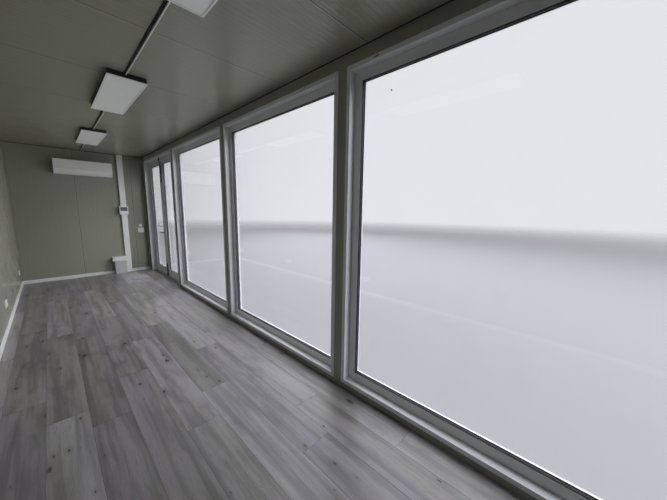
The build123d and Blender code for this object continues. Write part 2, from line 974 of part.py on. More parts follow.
# Ceiling lights, open underneath, with a diffuser in each
light_y = room_front_y + light_from_front
light_centres = [light_shift + (step - 1) * light_pitch for step in range(3)]
with BuildPart() as ceiling_lights:
    for light_x in light_centres:
        block(
            (light_x - light_length / 2, light_y - light_width / 2, ceiling_z - light_depth),
            (light_x + light_length / 2, light_y + light_width / 2, ceiling_z),
        )
        block(
            (
                light_x - light_length / 2 + light_rim,
                light_y - light_width / 2 + light_rim,
                ceiling_z - light_depth,
            ),
            (
                light_x + light_length / 2 - light_rim,
                light_y + light_width / 2 - light_rim,
                ceiling_z - light_depth + light_rim_lip + diffuser_thickness,
            ),
            Mode.SUBTRACT,
        )
save(ceiling_lights, "ceiling_lights")

with BuildPart() as light_diffusers:
    for light_x in light_centres:
        block(
            (
                light_x - light_length / 2 + light_rim,
                light_y - light_width / 2 + light_rim,
                ceiling_z - light_depth + light_rim_lip,
            ),
            (
                light_x + light_length / 2 - light_rim,
                light_y + light_width / 2 - light_rim,
                ceiling_z - light_depth + light_rim_lip + diffuser_thickness,
            ),
        )
save(light_diffusers, "light_diffusers")

with BuildPart() as ceiling_trunking:
    trunk_starts = [centre + light_length / 2 for centre in light_centres]
    trunk_stops = [centre - light_length / 2 for centre in light_centres[1:]] + [end_x]
    for low_x, high_x in zip(trunk_starts, trunk_stops):
        block(
            (low_x, light_y, ceiling_z - ceiling_trunk_depth),
            (high_x, light_y + ceiling_trunk_width, ceiling_z),
        )
save(ceiling_trunking, "ceiling_trunking")

# Trunking down the door end wall
trunk_y = room_front_y + wall_trunk_from_front
with BuildPart() as wall_trunking:
    block(
        (end_x - wall_trunk_depth, trunk_y - wall_trunk_width / 2, floor_z),
        (end_x, trunk_y + wall_trunk_width / 2, ceiling_z),
    )
save(wall_trunking, "wall_trunking")

# Air conditioner: its front slopes back to the bottom, and a vane closes the outlet in the slope
ac_y = room_front_y + ac_from_front
ac_high_z = ceiling_z - ac_below_ceiling
ac_low_z = ac_high_z - ac_height
with BuildPart() as air_conditioner:
    with BuildSketch(Plane.XZ.offset(-ac_y - ac_width / 2)):
        with BuildLine():
            Polyline(
                (end_x, ac_low_z),
                (end_x, ac_high_z),
                (end_x - ac_depth, ac_high_z),
                (end_x - ac_depth, ac_low_z + ac_slope_rise),
                (end_x - ac_depth + ac_slope_run, ac_low_z),
                close=True,
            )
        make_face()
        fillet(vertices().group_by(Axis.X)[0].sort_by(Axis.Y)[0], radius=ac_front_round)
        fillet(vertices().sort_by(Axis.Y)[-1], radius=ac_top_round)
    extrude(amount=ac_width)
    side_edges = edges().group_by(Axis.Y)[0] + edges().group_by(Axis.Y)[-1]
    fillet(
        side_edges.filter_by(lambda edge: edge.center().X < end_x - ac_end_round),
        radius=ac_end_round,
    )
    outlet = Plane(
        origin=(end_x - ac_depth + ac_slope_run / 2, ac_y, ac_low_z + ac_slope_rise / 2),
        x_dir=(-ac_slope_run, 0, ac_slope_rise),
        z_dir=(0, 1, 0),
    )
    outlet_length = ac_width - 2 * vane_end_margin
    with BuildSketch(outlet.offset(-outlet_length / 2)):
        with Locations((-vane_shift, outlet_depth / 2)):
            Rectangle(vane_width + 2 * vane_gap, outlet_depth)
    extrude(amount=outlet_length, mode=Mode.SUBTRACT)
save(air_conditioner, "air_conditioner")

with BuildPart() as air_conditioner_vane:
    with BuildSketch(outlet.offset(vane_end_clearance - outlet_length / 2)):
        with Locations((-vane_shift, vane_sink + vane_thickness / 2)):
            Rectangle(vane_width, vane_thickness)
    extrude(amount=outlet_length - 2 * vane_end_clearance)
save(air_conditioner_vane, "air_conditioner_vane")

# Control box on the trunking, with a dark window let into its cover
control_y = room_front_y + control_from_front
control_face_x = end_x - wall_trunk_depth - control_depth
control_high_z = floor_z + control_bottom + control_height
window_low = (
    control_face_x,
    control_y - control_width / 2 + control_window_border,
    control_high_z - control_window_border - control_window_height,
)
window_high = (
    control_face_x + control_window_thickness,
    control_y + control_width / 2 - control_window_border,
    control_high_z - control_window_border,
)
with BuildPart() as control_box:
    block(
        (control_face_x, control_y - control_width / 2, floor_z + control_bottom),
        (end_x - wall_trunk_depth, control_y + control_width / 2, control_high_z),
    )
    fillet(edges().group_by(Axis.X)[0], radius=control_round)
    block(window_low, window_high, Mode.SUBTRACT)
save(control_box, "control_box")

with BuildPart() as control_box_window:
    block(window_low, window_high)
save(control_box_window, "control_box_window")

# Floor box: it narrows downwards, and ribs run up its three open sides
floor_box_y = room_front_y + floor_box_from_front
floor_box_face_x = end_x - floor_box_depth
with BuildPart() as floor_box:
    with BuildSketch(Plane.YZ.offset(end_x)):
        with BuildLine():
            Polyline(
                (floor_box_y - floor_box_width / 2 + floor_box_taper, floor_z),
                (floor_box_y + floor_box_width / 2 - floor_box_taper, floor_z),
                (floor_box_y + floor_box_width / 2, floor_z + floor_box_height),
                (floor_box_y - floor_box_width / 2, floor_z + floor_box_height),
                close=True,
            )
        make_face()
    extrude(amount=-floor_box_depth)
    rib_run = floor_box_width - 2 * floor_box_taper - floor_rib_width
    for step in range(floor_rib_count):
        rib_y = floor_box_y - rib_run / 2 + rib_run * step / (floor_rib_count - 1)
        block(
            (floor_box_face_x - floor_rib_depth, rib_y - floor_rib_width / 2, floor_z),
            (floor_box_face_x, rib_y + floor_rib_width / 2, floor_z + floor_box_height),
        )
save(floor_box, "floor_box")

lid_low_y = floor_box_y - floor_box_width / 2
lid_low_z = floor_z + floor_box_height
with BuildPart() as floor_box_lid:
    block(
        (end_x - lid_depth, lid_low_y, lid_low_z),
        (end_x, lid_low_y + lid_width, lid_low_z + lid_rim_height),
    )
    block(
        (end_x - lid_depth + lid_rim_inset, lid_low_y + lid_rim_inset, lid_low_z + lid_rim_height),
        (end_x, lid_low_y + lid_width - lid_rim_inset, lid_low_z + lid_height),
    )
    fillet(edges().group_by(Axis.Z)[-1].sort_by(Axis.X)[:-1], radius=lid_round)
save(floor_box_lid, "floor_box_lid")


def end_wall_plate(low_y, low_z, size, thickness):
    """Square plate with rounded corners on the door end wall."""
    with BuildSketch(Plane.YZ.offset(end_x - thickness)) as plate:
        with Locations((low_y + size / 2, low_z + size / 2)):
            RectangleRounded(size, size, plate_round)
    extrude(plate.sketch, amount=thickness)


# Light switch with its rocker, and a small sensor above it
switch_low_y = room_front_y + switch_from_front - switch_size / 2
switch_low_z = floor_z + switch_bottom
rocker_size = switch_size - 2 * rocker_margin
with BuildPart() as light_switch:
    end_wall_plate(switch_low_y, switch_low_z, switch_size, plate_thickness)
    end_wall_plate(
        switch_low_y + rocker_margin,
        switch_low_z + rocker_margin,
        rocker_size,
        plate_thickness + rocker_rise,
    )
    end_wall_plate(
        room_front_y + switch_from_front - sensor_size / 2,
        switch_low_z + switch_size + sensor_above_switch,
        sensor_size,
        plate_thickness,
    )
save(light_switch, "light_switch")

# Double sockets low on the back wall, each with two round wells
socket_low_z = floor_z + socket_bottom
with BuildPart() as wall_sockets:
    for step in range(socket_count):
        socket_x = end_x - socket_from_end - step * socket_pitch
        with BuildSketch(Plane.XZ.offset(plate_thickness - room_back_y)) as plate:
            with Locations((socket_x, socket_low_z + socket_height / 2)):
                RectangleRounded(socket_width, socket_height, plate_round)
        extrude(amount=-plate_thickness)
        with BuildSketch(Plane.XZ.offset(plate_thickness - room_back_y)) as wells:
            with Locations(
                (socket_x - socket_width / 4, socket_low_z + socket_height / 2),
                (socket_x + socket_width / 4, socket_low_z + socket_height / 2),
            ):
                Circle(socket_well_radius)
        extrude(amount=-socket_well_depth, mode=Mode.SUBTRACT)
save(wall_sockets, "wall_sockets")


def skirting_section(wall, toward):
    """Skirting outline of (distance, height) points, with its top edge bevelled towards the room."""
    face = wall + toward * skirting_thickness
    high_z = floor_z + skirting_height
    return (
        (wall, floor_z),
        (face, floor_z),
        (face, high_z - skirting_bevel),
        (face - toward * skirting_bevel, high_z),
        (wall, high_z),
    )


# Skirting along the back and end walls, stopped at the trunking and the floor box
trunk_edge = trunk_y + wall_trunk_width / 2
box_edge = floor_box_y + floor_box_width / 2
side_reach_y = room_back_y - skirting_thickness
with BuildPart() as back_skirting:
    run_along_x(skirting_section(room_back_y, -1), -end_x, end_x)
save(back_skirting, "back_skirting")

with BuildPart() as end_skirting:
    run_along_y(skirting_section(-end_x, 1), room_front_y, side_reach_y)
    run_along_y(skirting_section(end_x, -1), max(box_edge, trunk_edge), side_reach_y)
    run_along_y(skirting_section(end_x, -1), room_front_y, trunk_y - wall_trunk_width / 2)
save(end_skirting, "end_skirting")

# Angles in the two back corners, down to the skirting
with BuildPart() as corner_trims:
    for side in (-1, 1):
        with BuildSketch(Plane.XY.offset(floor_z + skirting_height)):
            with BuildLine():
                Polyline(
                    (side * end_x, room_back_y),
                    (side * (end_x - corner_trim_leg), room_back_y),
                    (side * (end_x - corner_trim_leg), room_back_y - corner_trim_thickness),
                    (side * (end_x - corner_trim_thickness), room_back_y - corner_trim_thickness),
                    (side * (end_x - corner_trim_thickness), room_back_y - corner_trim_leg),
                    (side * end_x, room_back_y - corner_trim_leg),
                    close=True,
                )
            make_face()
        extrude(amount=ceiling_z - floor_z - skirting_height)
save(corner_trims, "corner_trims")
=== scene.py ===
"""Looks of the portable site cabin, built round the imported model.

Metres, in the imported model's frame: X along the cabin, the glazed front faces -Y, Z up from the ground.
"""
import math
import random

import bmesh
import bpy
from mathutils import Matrix, Vector


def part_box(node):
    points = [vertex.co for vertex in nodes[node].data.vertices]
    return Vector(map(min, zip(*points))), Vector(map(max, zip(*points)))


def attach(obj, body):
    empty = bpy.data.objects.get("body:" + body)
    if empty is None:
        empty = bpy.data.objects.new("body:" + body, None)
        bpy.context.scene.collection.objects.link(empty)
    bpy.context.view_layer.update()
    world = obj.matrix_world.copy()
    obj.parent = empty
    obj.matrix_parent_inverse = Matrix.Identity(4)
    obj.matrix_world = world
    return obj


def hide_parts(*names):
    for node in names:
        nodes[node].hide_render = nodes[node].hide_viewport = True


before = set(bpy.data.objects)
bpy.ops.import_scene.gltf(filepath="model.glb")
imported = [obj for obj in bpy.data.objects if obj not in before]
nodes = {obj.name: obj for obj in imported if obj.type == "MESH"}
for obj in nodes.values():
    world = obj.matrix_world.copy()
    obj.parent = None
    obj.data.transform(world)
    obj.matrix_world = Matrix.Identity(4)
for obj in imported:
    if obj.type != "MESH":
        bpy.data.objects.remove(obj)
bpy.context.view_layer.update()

CABIN = "cabin"
LEFT_LEAF = "door_leaf_left_body"
RIGHT_LEAF = "door_leaf_right_body"
LEAVES = {"left": LEFT_LEAF, "right": RIGHT_LEAF}
WINDOW_FRAMES = ("window_frame_1", "window_frame_2", "window_frame_3")

# Camera, solved from the vanishing lines of the photograph: its place, and its turns in degrees
CAMERA_PLACE = Vector((-3.645, 0.623, 1.716))
CAMERA_YAW = -46.012
CAMERA_PITCH = -8.402
CAMERA_ROLL = 0.851
CAMERA_FOCAL_PIXELS = 273.33
PHOTO_WIDTH = 667
SENSOR_WIDTH = 36.0

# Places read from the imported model
room_low_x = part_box("plain_end_wall")[1].x
room_high_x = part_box("door_end_wall")[0].x
room_front_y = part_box("front_header")[1].y
room_back_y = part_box("back_wall")[0].y
floor_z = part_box("floor_planks")[1].z
ceiling_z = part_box("roof_panels")[0].z


# Shader helpers

def new_material(name):
    """A material with an empty Principled shader, as (material, node tree, shader)."""
    made = bpy.data.materials.new(name)
    made.use_nodes = True
    tree = made.node_tree
    tree.nodes.clear()
    output = tree.nodes.new("ShaderNodeOutputMaterial")
    shader = tree.nodes.new("ShaderNodeBsdfPrincipled")
    tree.links.new(shader.outputs[0], output.inputs[0])
    return made, tree, shader


def add(tree, kind, inputs=None, **settings):
    """One shader node. Inputs are numbers, tints or sockets, by the input's name or number."""
    made = tree.nodes.new("ShaderNode" + kind)
    for key, value in settings.items():
        setattr(made, key, value)
    for key, value in (inputs or {}).items():
        socket = made.inputs[key]
        if isinstance(value, bpy.types.NodeSocket):
            tree.links.new(value, socket)
        else:
            socket.default_value = (*value, 1.0) if socket.type == "RGBA" else value
    return made


def math_node(tree, operation, first, second=0.0, third=0.0):
    """The result of one Math node."""
    return add(tree, "Math", {0: first, 1: second, 2: third}, operation=operation).outputs[0]


def times(tree, first, second):
    """The product of two values."""
    return math_node(tree, "MULTIPLY", first, second)


def place(tree):
    """The point's place at rest in the model's frame."""
    return add(tree, "TexCoord").outputs["Object"]


def axes(tree):
    """The three parts of the point's place."""
    split = add(tree, "SeparateXYZ", {0: place(tree)})
    return split.outputs[0], split.outputs[1], split.outputs[2]


def stretched(tree, scale):
    """The point's place, scaled along each axis."""
    return add(tree, "Mapping", {"Vector": place(tree), "Scale": scale}).outputs[0]


def noise(tree, vector, scale, detail=3.0, roughness=0.55, distortion=0.0):
    """The grey of a noise texture."""
    inputs = {
        "Vector": vector, "Scale": scale, "Detail": detail, "Roughness": roughness, "Distortion": distortion,
    }
    return add(tree, "TexNoise", inputs).outputs[0]


def remap(tree, value, low, high, to_low=0.0, to_high=1.0, smooth=True):
    """A value mapped from one range to another, clamped."""
    inputs = {"Value": value, "From Min": low, "From Max": high, "To Min": to_low, "To Max": to_high}
    kind = "SMOOTHSTEP" if smooth else "LINEAR"
    return add(tree, "MapRange", inputs, interpolation_type=kind).outputs[0]


def mix(tree, factor, first, second):
    """Two colours mixed by a factor."""
    return add(tree, "Mix", {0: factor, 6: first, 7: second}, data_type="RGBA").outputs[2]


def scaled(tint, share):
    """A brighter or dimmer tint."""
    return tuple(share * part for part in tint)


def cover(tree, shader, base, rough):
    """Link a shader's colour and roughness."""
    tree.links.new(base, shader.inputs["Base Color"])
    tree.links.new(rough, shader.inputs["Roughness"])


def bump(tree, shader, height, distance):
    """Bump on a shader, as deep as the distance."""
    made = add(tree, "Bump", {"Height": height, "Distance": distance, "Strength": 1.0})
    tree.links.new(made.outputs[0], shader.inputs["Normal"])


def replace_shader(tree, shader, made):
    """Put another shader on the output in place of the Principled one."""
    tree.nodes.remove(shader)
    output = next(node for node in tree.nodes if node.type == "OUTPUT_MATERIAL")
    tree.links.new(made.outputs[0], output.inputs[0])


def glaze(tree, shader, tint, roughness, share):
    """A pane's shader: it mirrors a share of the light and lets the rest straight through, tinted."""
    clear = add(tree, "BsdfTransparent", {"Color": tint})
    mirror = add(tree, "BsdfGlossy", {"Color": (1, 1, 1), "Roughness": roughness})
    mixed = add(tree, "MixShader", {0: share, 1: clear.outputs[0], 2: mirror.outputs[0]})
    replace_shader(tree, shader, mixed)


def seen_ray(tree):
    """1 on rays that show a surface, mirrored or through glass too, and 0 on those that carry its light."""
    path = add(tree, "LightPath")
    seen = math_node(tree, "MAXIMUM", path.outputs["Is Camera Ray"], path.outputs["Is Glossy Ray"])
    return math_node(tree, "MAXIMUM", seen, path.outputs["Is Transmission Ray"])


def edge_mask(tree, radius):
    """Bright where an edge is close, from the bevelled normal."""
    rounded = add(tree, "Bevel", {"Radius": radius}, samples=4).outputs[0]
    plain = add(tree, "NewGeometry").outputs["Normal"]
    likeness = add(tree, "VectorMath", {0: rounded, 1: plain}, operation="DOT_PRODUCT").outputs["Value"]
    return remap(tree, likeness, 0.995, 0.9)


# Materials

ORANGE_PEEL = 0.00006
WORN_EDGE = 0.003


def painted(name, tint, rough, grime, worn=0.0):
    """Paint or powder coat: faint orange peel, patches and specks of dust and paler worn edges."""
    made, tree, shader = new_material(name)
    where = place(tree)
    patches = noise(tree, where, 1.7, detail=5.0)
    fine = noise(tree, where, 34.0, detail=4.0)
    dusty = times(tree, remap(tree, patches, 0.42, 0.72), grime)
    base = mix(tree, dusty, tint, scaled(tint, 0.62))
    speck = remap(tree, fine, 0.35, 0.7, 0.0, grime * 0.35)
    base = mix(tree, speck, base, (0.22, 0.2, 0.17))
    if worn:
        chipped = remap(tree, fine, 0.45, 0.6, 0.0, worn)
        rubbed = times(tree, edge_mask(tree, WORN_EDGE), chipped)
        base = mix(tree, rubbed, base, (0.42, 0.41, 0.4))
    cover(tree, shader, base, remap(tree, patches, 0.3, 0.8, rough - 0.05, rough + 0.1))
    bump(tree, shader, noise(tree, where, 420.0, detail=1.0), ORANGE_PEEL)
    return made


# Sandwich panels: where one joint lies and how wide a panel is, the grooves rolled in their sheets and the
# dark line of a joint with a painted highlight on the lip beside it
CEILING_JOINT_X = -1.37
CEILING_PANEL = 0.978
END_JOINT_Y = -0.785
END_PANEL = 0.97
BACK_PANEL_COUNT = 9
GROOVE_PITCH = CEILING_PANEL / 22
GROOVE_DEPTH = 0.0011
END_GROOVE_DEPTH = 0.0006
JOINT_LINE_EDGE = 0.0045
JOINT_LINE_CORE = 0.002
JOINT_HIGHLIGHT_OFFSET = 0.0065
SHEET_ROUGHNESS = 0.205
SHEET_GRIME = 0.06
GREY_SHEET = (0.3, 0.3, 0.24)
ROOF_SHEET = (0.275, 0.276, 0.21)


def groove_heights(tree, across):
    """Height of a sheet with a groove at every pitch and a shallower one in every other gap between."""

    def grooves(pitch, core, edge):
        turns = times(tree, across, 1.0 / pitch)
        off = math_node(tree, "SUBTRACT", math_node(tree, "FRACT", turns), 0.5)
        return remap(tree, math_node(tree, "ABSOLUTE", off), core, edge)

    groove = grooves(GROOVE_PITCH, 0.03, 0.22)
    second = grooves(2 * GROOVE_PITCH, 0.02, 0.12)
    return math_node(tree, "ADD", groove, times(tree, second, 0.7))


def joint_lines(tree, base, across, joint_at, joint_pitch):
    """A sheet's colour with dirt in its joints and a painted highlight on the lip beside each."""
    step = times(tree, math_node(tree, "SUBTRACT", across, joint_at), 1.0 / joint_pitch)
    off = math_node(tree, "SUBTRACT", math_node(tree, "FRACT", math_node(tree, "ADD", step, 0.5)), 0.5)
    off = times(tree, off, joint_pitch)
    # The pale line is a painted highlight on the lip beside the joint; the dark line is the joint itself.
    for middle, strength, tint in (
        (JOINT_HIGHLIGHT_OFFSET, 0.3, (0.8, 0.8, 0.76)),
        (0.0, 0.88, (0.02, 0.02, 0.017)),
    ):
        far = math_node(tree, "ABSOLUTE", math_node(tree, "SUBTRACT", off, middle))
        line = remap(tree, far, JOINT_LINE_EDGE, JOINT_LINE_CORE, 0.0, strength)
        base = mix(tree, line, base, tint)
    return base


def panel_sheet(name, tint, along, joint_at=None, joint_pitch=1.0, depth=GROOVE_DEPTH):
    """Coil-coated steel sheet of the sandwich panels, rolled with fine grooves across the given axis."""
    made, tree, shader = new_material(name)
    where = place(tree)
    across = axes(tree)[along]
    height = groove_heights(tree, across)
    patches = noise(tree, where, 0.5, detail=3.0)
    fine = noise(tree, where, 5.0, detail=4.0)
    grime = remap(tree, patches, 0.35, 0.75, 0.0, SHEET_GRIME)
    base = mix(tree, grime, tint, (0.2, 0.195, 0.15))
    # Painted shade: the sheet is drawn darker down in its grooves.
    base = mix(tree, remap(tree, height, 0.3, 1.3, 0.14, 0.0), base, (0.07, 0.07, 0.06))
    if joint_at is not None:
        base = joint_lines(tree, base, across, joint_at, joint_pitch)
    cover(tree, shader, base, remap(tree, fine, 0.3, 0.7, SHEET_ROUGHNESS, SHEET_ROUGHNESS + 0.05))
    bump(tree, shader, height, depth)
    return made


# Values that each laminate board carries on its points: how pale it is, where it is cut from the wood, and
# where it has a closing edge
BOARD_TONE = "board_tone"
BOARD_CUT = "board_cut"
BOARD_EDGE = "board_edge"
PORE_DEPTH = 0.0002


def board_value(tree, name):
    """One of the values that the boards carry."""
    return add(tree, "Attribute", attribute_name=name).outputs["Fac"]


def board_grain(tree):
    """A function for places in a board's own wood, scaled along and across it, and the place across it."""
    cut = board_value(tree, BOARD_CUT)
    x, y = axes(tree)[:2]
    own_x = math_node(tree, "MULTIPLY_ADD", cut, 41.0, x)
    own_y = math_node(tree, "MULTIPLY_ADD", cut, 17.0, y)

    def grain(scale_x, scale_y):
        long_way = times(tree, own_x, scale_x)
        cross_way = times(tree, own_y, scale_y)
        return add(tree, "CombineXYZ", {0: long_way, 1: cross_way, 2: cut}).outputs[0]

    return grain, own_y


def wood_knots(tree, where, ragged, share, reach):
    """Dark cores and their wider halos, of uneven size and ragged outline."""
    inputs = {"Vector": where, "Scale": 1.0, "Randomness": 0.95}
    cells = add(tree, "TexVoronoi", inputs, feature="F1", voronoi_dimensions="2D")
    chosen = add(tree, "SeparateColor", {0: cells.outputs["Color"]})
    kept = math_node(tree, "LESS_THAN", chosen.outputs[0], share)
    size = remap(tree, chosen.outputs[1], 0.0, 1.0, 0.45, 1.3, smooth=False)
    far = math_node(tree, "DIVIDE", math_node(tree, "ADD", cells.outputs["Distance"], ragged), size)
    core = times(tree, remap(tree, far, reach, 0.6 * reach), kept)
    halo = times(tree, remap(tree, far, 3.0 * reach, 0.6 * reach), kept)
    return core, halo


def wood_figure(tree, grain, own_y, halo):
    """Fine wavy lines along the wood that bend round the knots."""
    bend = times(tree, noise(tree, grain(3.4, 10.0), 1.0, detail=3.0), 46.0)
    bend = math_node(tree, "ADD", bend, times(tree, halo, 9.0))
    rings = math_node(tree, "SINE", math_node(tree, "MULTIPLY_ADD", own_y, 780.0, bend))
    strength = remap(tree, noise(tree, grain(0.8, 10.0), 1.0), 0.45, 0.65, 0.03, 0.34)
    return times(tree, remap(tree, rings, 0.1, 1.0), strength)


def laminate():
    """Grey oak laminate: soft streaks, wavy fine figure, pores and a few knots, and dark board edges."""
    made, tree, shader = new_material("laminate")
    grain, own_y = board_grain(tree)
    ragged = times(tree, noise(tree, grain(26.0, 75.0), 1.0, detail=4.0), 0.11)
    knot, halo = wood_knots(tree, grain(2.1, 4.6), ragged, 0.34, 0.14)
    speck, speck_halo = wood_knots(tree, grain(6.5, 15.0), ragged, 0.06, 0.17)
    streak = noise(tree, grain(0.8, 13.0), 1.0, detail=5.0, roughness=0.6, distortion=0.15)
    hue = noise(tree, grain(0.3, 3.0), 1.0, detail=2.0)
    broad = noise(tree, grain(2.4, 7.0), 1.0, detail=4.0, roughness=0.6, distortion=0.2)
    pores = remap(tree, noise(tree, grain(11.0, 260.0), 1.0, detail=4.0, roughness=0.75), 0.5, 0.7)

    olive = remap(tree, hue, 0.42, 0.6)
    pale = mix(tree, olive, (0.28, 0.262, 0.286), (0.268, 0.256, 0.25))
    deep = mix(tree, olive, (0.16, 0.148, 0.162), (0.155, 0.147, 0.14))
    base = mix(tree, remap(tree, streak, 0.34, 0.62), deep, pale)
    halos = math_node(tree, "MAXIMUM", halo, speck_halo)
    cores = math_node(tree, "MAXIMUM", knot, speck)
    for share, tint in (
        (remap(tree, broad, 0.48, 0.72, 0.0, 0.45), (0.094, 0.089, 0.088)),
        (wood_figure(tree, grain, own_y, halo), (0.085, 0.08, 0.08)),
        (times(tree, pores, 0.42), (0.09, 0.085, 0.083)),
        (times(tree, halos, 0.3), (0.09, 0.081, 0.075)),
        (times(tree, cores, 0.88), (0.026, 0.021, 0.018)),
    ):
        base = mix(tree, share, base, tint)
    tone = board_value(tree, BOARD_TONE)
    toned = add(tree, "HueSaturation", {"Hue": 0.5, "Color": base})
    tree.links.new(remap(tree, tone, 0.0, 1.0, 0.8, 1.22, smooth=False), toned.inputs["Value"])
    tree.links.new(remap(tree, tone, 0.0, 1.0, 1.15, 0.85, smooth=False), toned.inputs["Saturation"])
    edge = times(tree, board_value(tree, BOARD_EDGE), 0.9)
    closed = mix(tree, edge, toned.outputs[0], (0.012, 0.011, 0.01))
    satin = remap(tree, streak, 0.3, 0.7, 0.3, 0.36)
    cover(tree, shader, closed, math_node(tree, "MULTIPLY_ADD", pores, 0.1, satin))
    bump(tree, shader, math_node(tree, "MULTIPLY_ADD", pores, -0.7, 1.0), PORE_DEPTH)
    return made


def timber_board():
    """Brown plywood of the floor deck."""
    made, tree, shader = new_material("deck_board")
    layers = noise(tree, stretched(tree, (1.2, 14.0, 160.0)), 1.0, detail=5.0)
    share = remap(tree, layers, 0.3, 0.7)
    base = mix(tree, share, (0.2, 0.125, 0.075), (0.4, 0.29, 0.19))
    tree.links.new(base, shader.inputs["Base Color"])
    shader.inputs["Roughness"].default_value = 0.8
    bump(tree, shader, layers, 0.0004)
    return made


def galvanised():
    """Zinc coat with its spangle."""
    made, tree, shader = new_material("galvanised")
    spangle = add(tree, "TexVoronoi", {"Vector": place(tree), "Scale": 55.0}, feature="F1")
    shade = add(tree, "SeparateColor", {0: spangle.outputs["Color"]}).outputs[0]
    base = mix(tree, shade, (0.42, 0.44, 0.45), (0.6, 0.62, 0.63))
    shader.inputs["Metallic"].default_value = 0.85
    cover(tree, shader, base, remap(tree, shade, 0.0, 1.0, 0.35, 0.55))
    bump(tree, shader, shade, 0.00005)
    return made


def brushed_metal(name, tint, rough, stretch=(4.0, 260.0, 260.0)):
    """Bare metal with fine drawn lines along its least stretched axis, and dull patches."""
    made, tree, shader = new_material(name)
    lines = noise(tree, stretched(tree, stretch), 1.0, detail=4.0)
    wear = noise(tree, place(tree), 14.0, detail=4.0)
    base = mix(tree, lines, scaled(tint, 0.85), scaled(tint, 1.12))
    base = mix(tree, remap(tree, wear, 0.5, 0.75, 0.0, 0.35), base, scaled(tint, 0.55))
    shader.inputs["Metallic"].default_value = 1.0
    cover(tree, shader, base, remap(tree, wear, 0.3, 0.7, rough, rough + 0.15))
    bump(tree, shader, lines, 0.00004)
    return made


def plastic(name, tint, rough):
    """Moulded plastic with a fine sparked grain and a little dust."""
    made, tree, shader = new_material(name)
    where = place(tree)
    patches = noise(tree, where, 6.0, detail=4.0)
    dust = remap(tree, patches, 0.4, 0.75, 0.0, 0.06)
    base = mix(tree, dust, tint, scaled(tint, 0.5))
    cover(tree, shader, base, remap(tree, patches, 0.3, 0.7, rough, rough + 0.08))
    bump(tree, shader, noise(tree, where, 900.0, detail=1.0), 0.00003)
    return made


def rubber():
    """Black rubber and brush, and the bead of painted shade in the ceiling corner."""
    made, tree, shader = new_material("rubber")
    mottled = noise(tree, place(tree), 40.0, detail=3.0)
    base = mix(tree, mottled, (0.012, 0.012, 0.013), (0.03, 0.03, 0.03))
    shader.inputs["Specular IOR Level"].default_value = 0.2
    cover(tree, shader, base, remap(tree, mottled, 0.3, 0.7, 0.7, 0.85))
    bump(tree, shader, mottled, 0.0001)
    return made


def clear_glass():
    """Window pane with a faint film. Only its front face mirrors, and more at a shallow angle."""
    made, tree, shader = new_material("clear_glass")
    film = remap(tree, noise(tree, place(tree), 3.0, detail=6.0, roughness=0.7), 0.45, 0.8)
    tint = mix(tree, film, (0.975, 0.978, 0.98), (0.968, 0.971, 0.973))
    turned = math_node(tree, "MINIMUM", add(tree, "Fresnel", {"IOR": 1.45}).outputs[0], 0.85)
    front = math_node(tree, "SUBTRACT", 1.0, add(tree, "NewGeometry").outputs["Backfacing"])
    glaze(tree, shader, tint, 0.0, times(tree, turned, front))
    return made


def smoked_plastic():
    """Dark clear cover of the control box."""
    made, tree, shader = new_material("smoked_window")
    streaks = noise(tree, place(tree), 30.0, detail=3.0)
    tint = mix(tree, streaks, (0.58, 0.59, 0.61), (0.66, 0.67, 0.69))
    turned = times(tree, add(tree, "Fresnel", {"IOR": 1.5}).outputs[0], 0.8)
    glaze(tree, shader, tint, 0.08, math_node(tree, "ADD", turned, 0.02))
    return made


def opal_diffuser():
    """Milky light cover with a fine prism pattern."""
    made, tree, shader = new_material("diffuser")
    prisms = add(tree, "TexVoronoi", {"Vector": place(tree), "Scale": 160.0}, feature="F1")
    mottled = noise(tree, place(tree), 5.0, detail=2.0)
    base = mix(tree, mottled, (0.86, 0.86, 0.855), (0.92, 0.92, 0.915))
    tree.links.new(base, shader.inputs["Base Color"])
    shader.inputs["Roughness"].default_value = 0.35
    bump(tree, shader, prisms.outputs["Distance"], 0.0001)
    return made


back_low, back_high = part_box("back_wall")
back_panel = (back_high.x - back_low.x) / BACK_PANEL_COUNT
materials = {
    "frame_steel": painted("frame_steel", (0.36, 0.36, 0.335), 0.35, grime=0.2, worn=0.6),
    "post_sheet": painted("post_sheet", (0.28, 0.28, 0.24), 0.34, grime=0.05),
    "sheet_roof": panel_sheet("panel_sheet_roof", ROOF_SHEET, 0, CEILING_JOINT_X, CEILING_PANEL),
    "sheet_back": panel_sheet("panel_sheet_back", GREY_SHEET, 0, back_low.x, back_panel),
    "sheet_end": panel_sheet("panel_sheet_end", GREY_SHEET, 1, END_JOINT_Y, END_PANEL, END_GROOVE_DEPTH),
    "sheet_plain": panel_sheet("panel_sheet_plain", GREY_SHEET, 0),
    "deck_board": timber_board(),
    "laminate": laminate(),
    "white_frame": painted("white_frame", (0.72, 0.725, 0.77), 0.34, grime=0.08),
    "clear_glass": clear_glass(),
    "anodised": brushed_metal("anodised", (0.4, 0.4, 0.41), 0.3),
    "black_metal": painted("black_metal", (0.018, 0.018, 0.02), 0.34, grime=0.3),
    "white_plastic": plastic("white_plastic", (0.78, 0.78, 0.77), 0.35),
    "light_housing": painted("light_housing", (0.84, 0.84, 0.83), 0.34, grime=0.05),
    "diffuser": opal_diffuser(),
    "grey_plastic": plastic("grey_plastic", (0.58, 0.59, 0.6), 0.5),
    "smoked_window": smoked_plastic(),
    "galvanised": galvanised(),
    "rubber": rubber(),
    # Dark plastic, also used as painted shade on the light boxes and beside the cable strip.
    "dark_plastic_and_painted_shade": plastic("dark_plastic_and_painted_shade", (0.016, 0.016, 0.018), 0.6),
    "screw_steel": brushed_metal("screw_steel", (0.55, 0.55, 0.54), 0.3, stretch=(90.0, 90.0, 90.0)),
}

